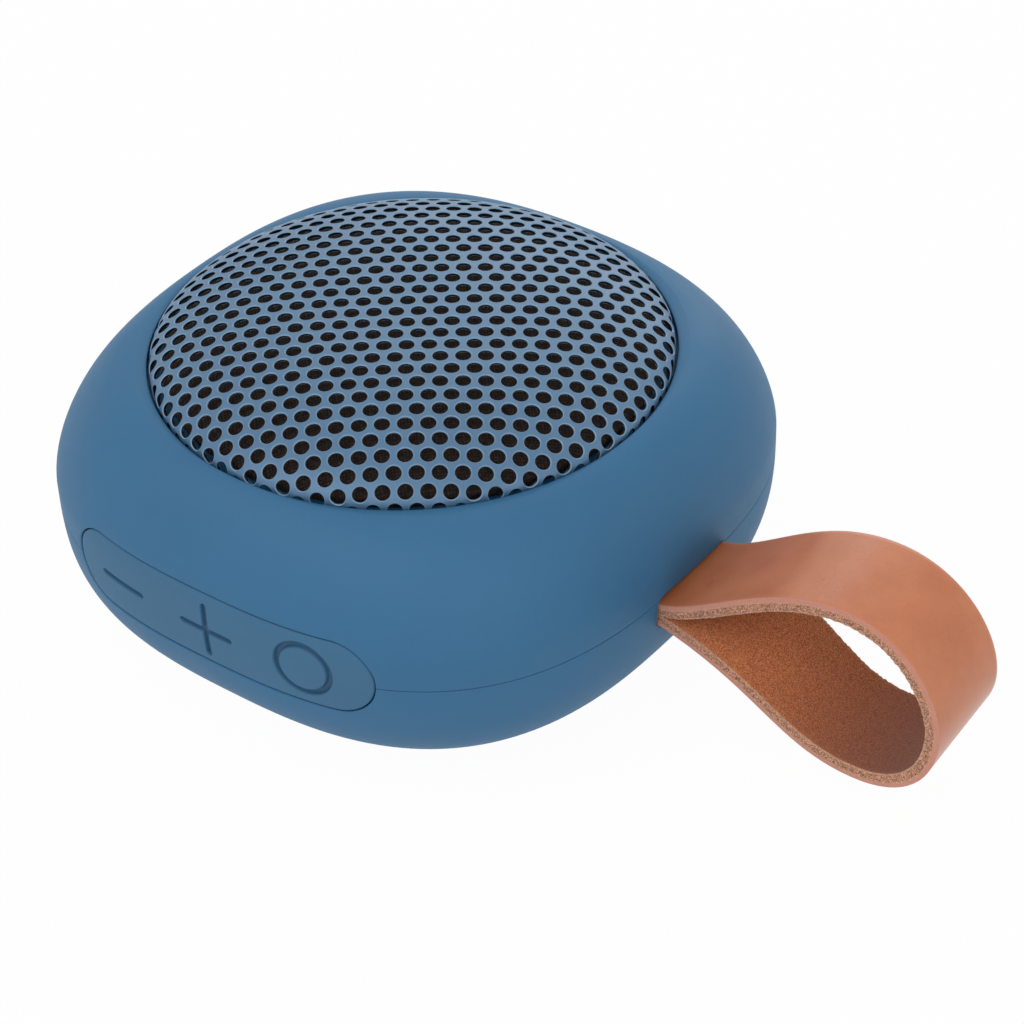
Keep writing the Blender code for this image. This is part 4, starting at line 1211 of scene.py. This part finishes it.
# ---------------------------------------------------------------- bodies
for obj, body, slot_name, nodes in (
        (upper, "case", "case_blue", ["upper_housing"]),
        (lower, "case", "case_blue", ["lower_housing"]),
        (sheet, "case", "grille_blue", ["grille"]),
        (backing, "case", "cloth_black", ["grille_cloth"]),
        (foot_disc, "case", "rubber_black", ["foot_pad"]),
        (plug, "port_flap", "strip_blue", ["port_cover"])):
    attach(obj, body)
    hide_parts(*nodes)


for key, piece in strips.items():
    body = f"key_{key}_body"
    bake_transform(piece)
    x, y, z = points_of(piece).T
    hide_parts("key_" + key)
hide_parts("button_strip")

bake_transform(surround_roll)
np.hypot(*points_of(surround_roll).T[:2])
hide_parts("driver_surround")

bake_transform(loop)
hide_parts("strap_loop", "strap_tail_upper", "strap_tail_lower")


# ---------------------------------------------------------------- floor, light and camera
def seen_directly(tree):
    """1 for what the camera sees, also in a gloss or through glass, and 0 for lighting."""
    rays = tree.nodes.new("ShaderNodeLightPath").outputs
    seen = sums("MAXIMUM", rays["Is Camera Ray"], rays["Is Glossy Ray"])
    return sums("MAXIMUM", seen, rays["Is Transmission Ray"])


def floor():
    clear()
    bpy.ops.mesh.primitive_grid_add(x_subdivisions=8, y_subdivisions=8, size=6.0,
                                    location=(0, 0, -0.0001))
    made = bpy.context.object
    made.name = made.data.name = "studio_floor"
    mat, tree, shader, _ = finish_named("studio_paper")
    shader.inputs["Base Color"].default_value = (0.86, 0.86, 0.86, 1.0)
    shader.inputs["Roughness"].default_value = 1.0
    shader.inputs["Specular IOR Level"].default_value = 0.0
    glow = node(tree, "ShaderNodeEmission", {"Color": (1, 1, 1, 1), "Strength": 1.0})
    share = sums("MULTIPLY", seen_directly(tree), 0.97)
    mix = node(tree, "ShaderNodeMixShader", {0: share, 1: shader.outputs[0],
                                             2: glow.outputs[0]})
    tree.links.new(mix.outputs[0], tree.nodes["Material Output"].inputs[0])
    dress(made, mat)


def area_light(name, place, target, size, power):
    lamp = bpy.data.lights.new(name, "AREA")
    lamp.shape = "RECTANGLE"
    lamp.size, lamp.size_y = size
    lamp.energy = power
    obj = bpy.data.objects.new(name, lamp)
    bpy.context.scene.collection.objects.link(obj)
    obj.location = place
    obj.rotation_euler = (Vector(target) - Vector(place)).to_track_quat("-Z", "Y").to_euler()


floor()
area_light("key_softbox", (-0.10, -0.70, 0.80), (0, 0, 0.02), (0.9, 0.7), 3.0)
area_light("fill_softbox", (0.80, -0.30, 0.45), (0, 0, 0.02), (0.7, 0.6), 1.2)
area_light("back_softbox", (-0.25, 0.80, 0.40), (0, 0, 0.03), (0.8, 0.5), 1.8)

WORLD_LEVEL = 0.68
world = bpy.data.worlds.new("studio")
bpy.context.scene.world = world
world.use_nodes = True
sky = world.node_tree
background = sky.nodes["Background"]
background.inputs["Color"].default_value = (1, 1, 1, 1)
sky.links.new(sums("MULTIPLY_ADD", seen_directly(sky), 1 - WORLD_LEVEL, WORLD_LEVEL),
              background.inputs["Strength"])


def camera():
    """The view, turned about the case's middle; its distances are in half widths."""
    turn, rise, roll = (math.radians(angle) for angle in (38.338, 37.896, -2.320))
    unit = HALF_WIDTH
    back = Vector((math.sin(turn) * math.cos(rise), -math.cos(turn) * math.cos(rise),
                   math.sin(rise)))
    right = Vector((math.cos(turn), math.sin(turn), 0))
    up = back.cross(right)
    right_rolled = right * math.cos(roll) + up * math.sin(roll)
    up_rolled = up * math.cos(roll) - right * math.sin(roll)
    place = (Vector((0, 0, 0.45 * unit)) + back * 9.655 * unit
             + right_rolled * 0.2827 * unit - up_rolled * 0.1584 * unit)
    data = bpy.data.cameras.new("camera")
    data.lens = 111.04
    data.sensor_width = 36.0
    data.clip_start = 0.01
    obj = bpy.data.objects.new("camera", data)
    bpy.context.scene.collection.objects.link(obj)
    facing = np.eye(4)
    for k, column in enumerate((right_rolled, up_rolled, back, place)):
        facing[:3, k] = column
    obj.matrix_world = Matrix(facing.tolist())
    bpy.context.scene.camera = obj


camera()
bpy.context.scene.view_settings.view_transform = "Standard"

clear()
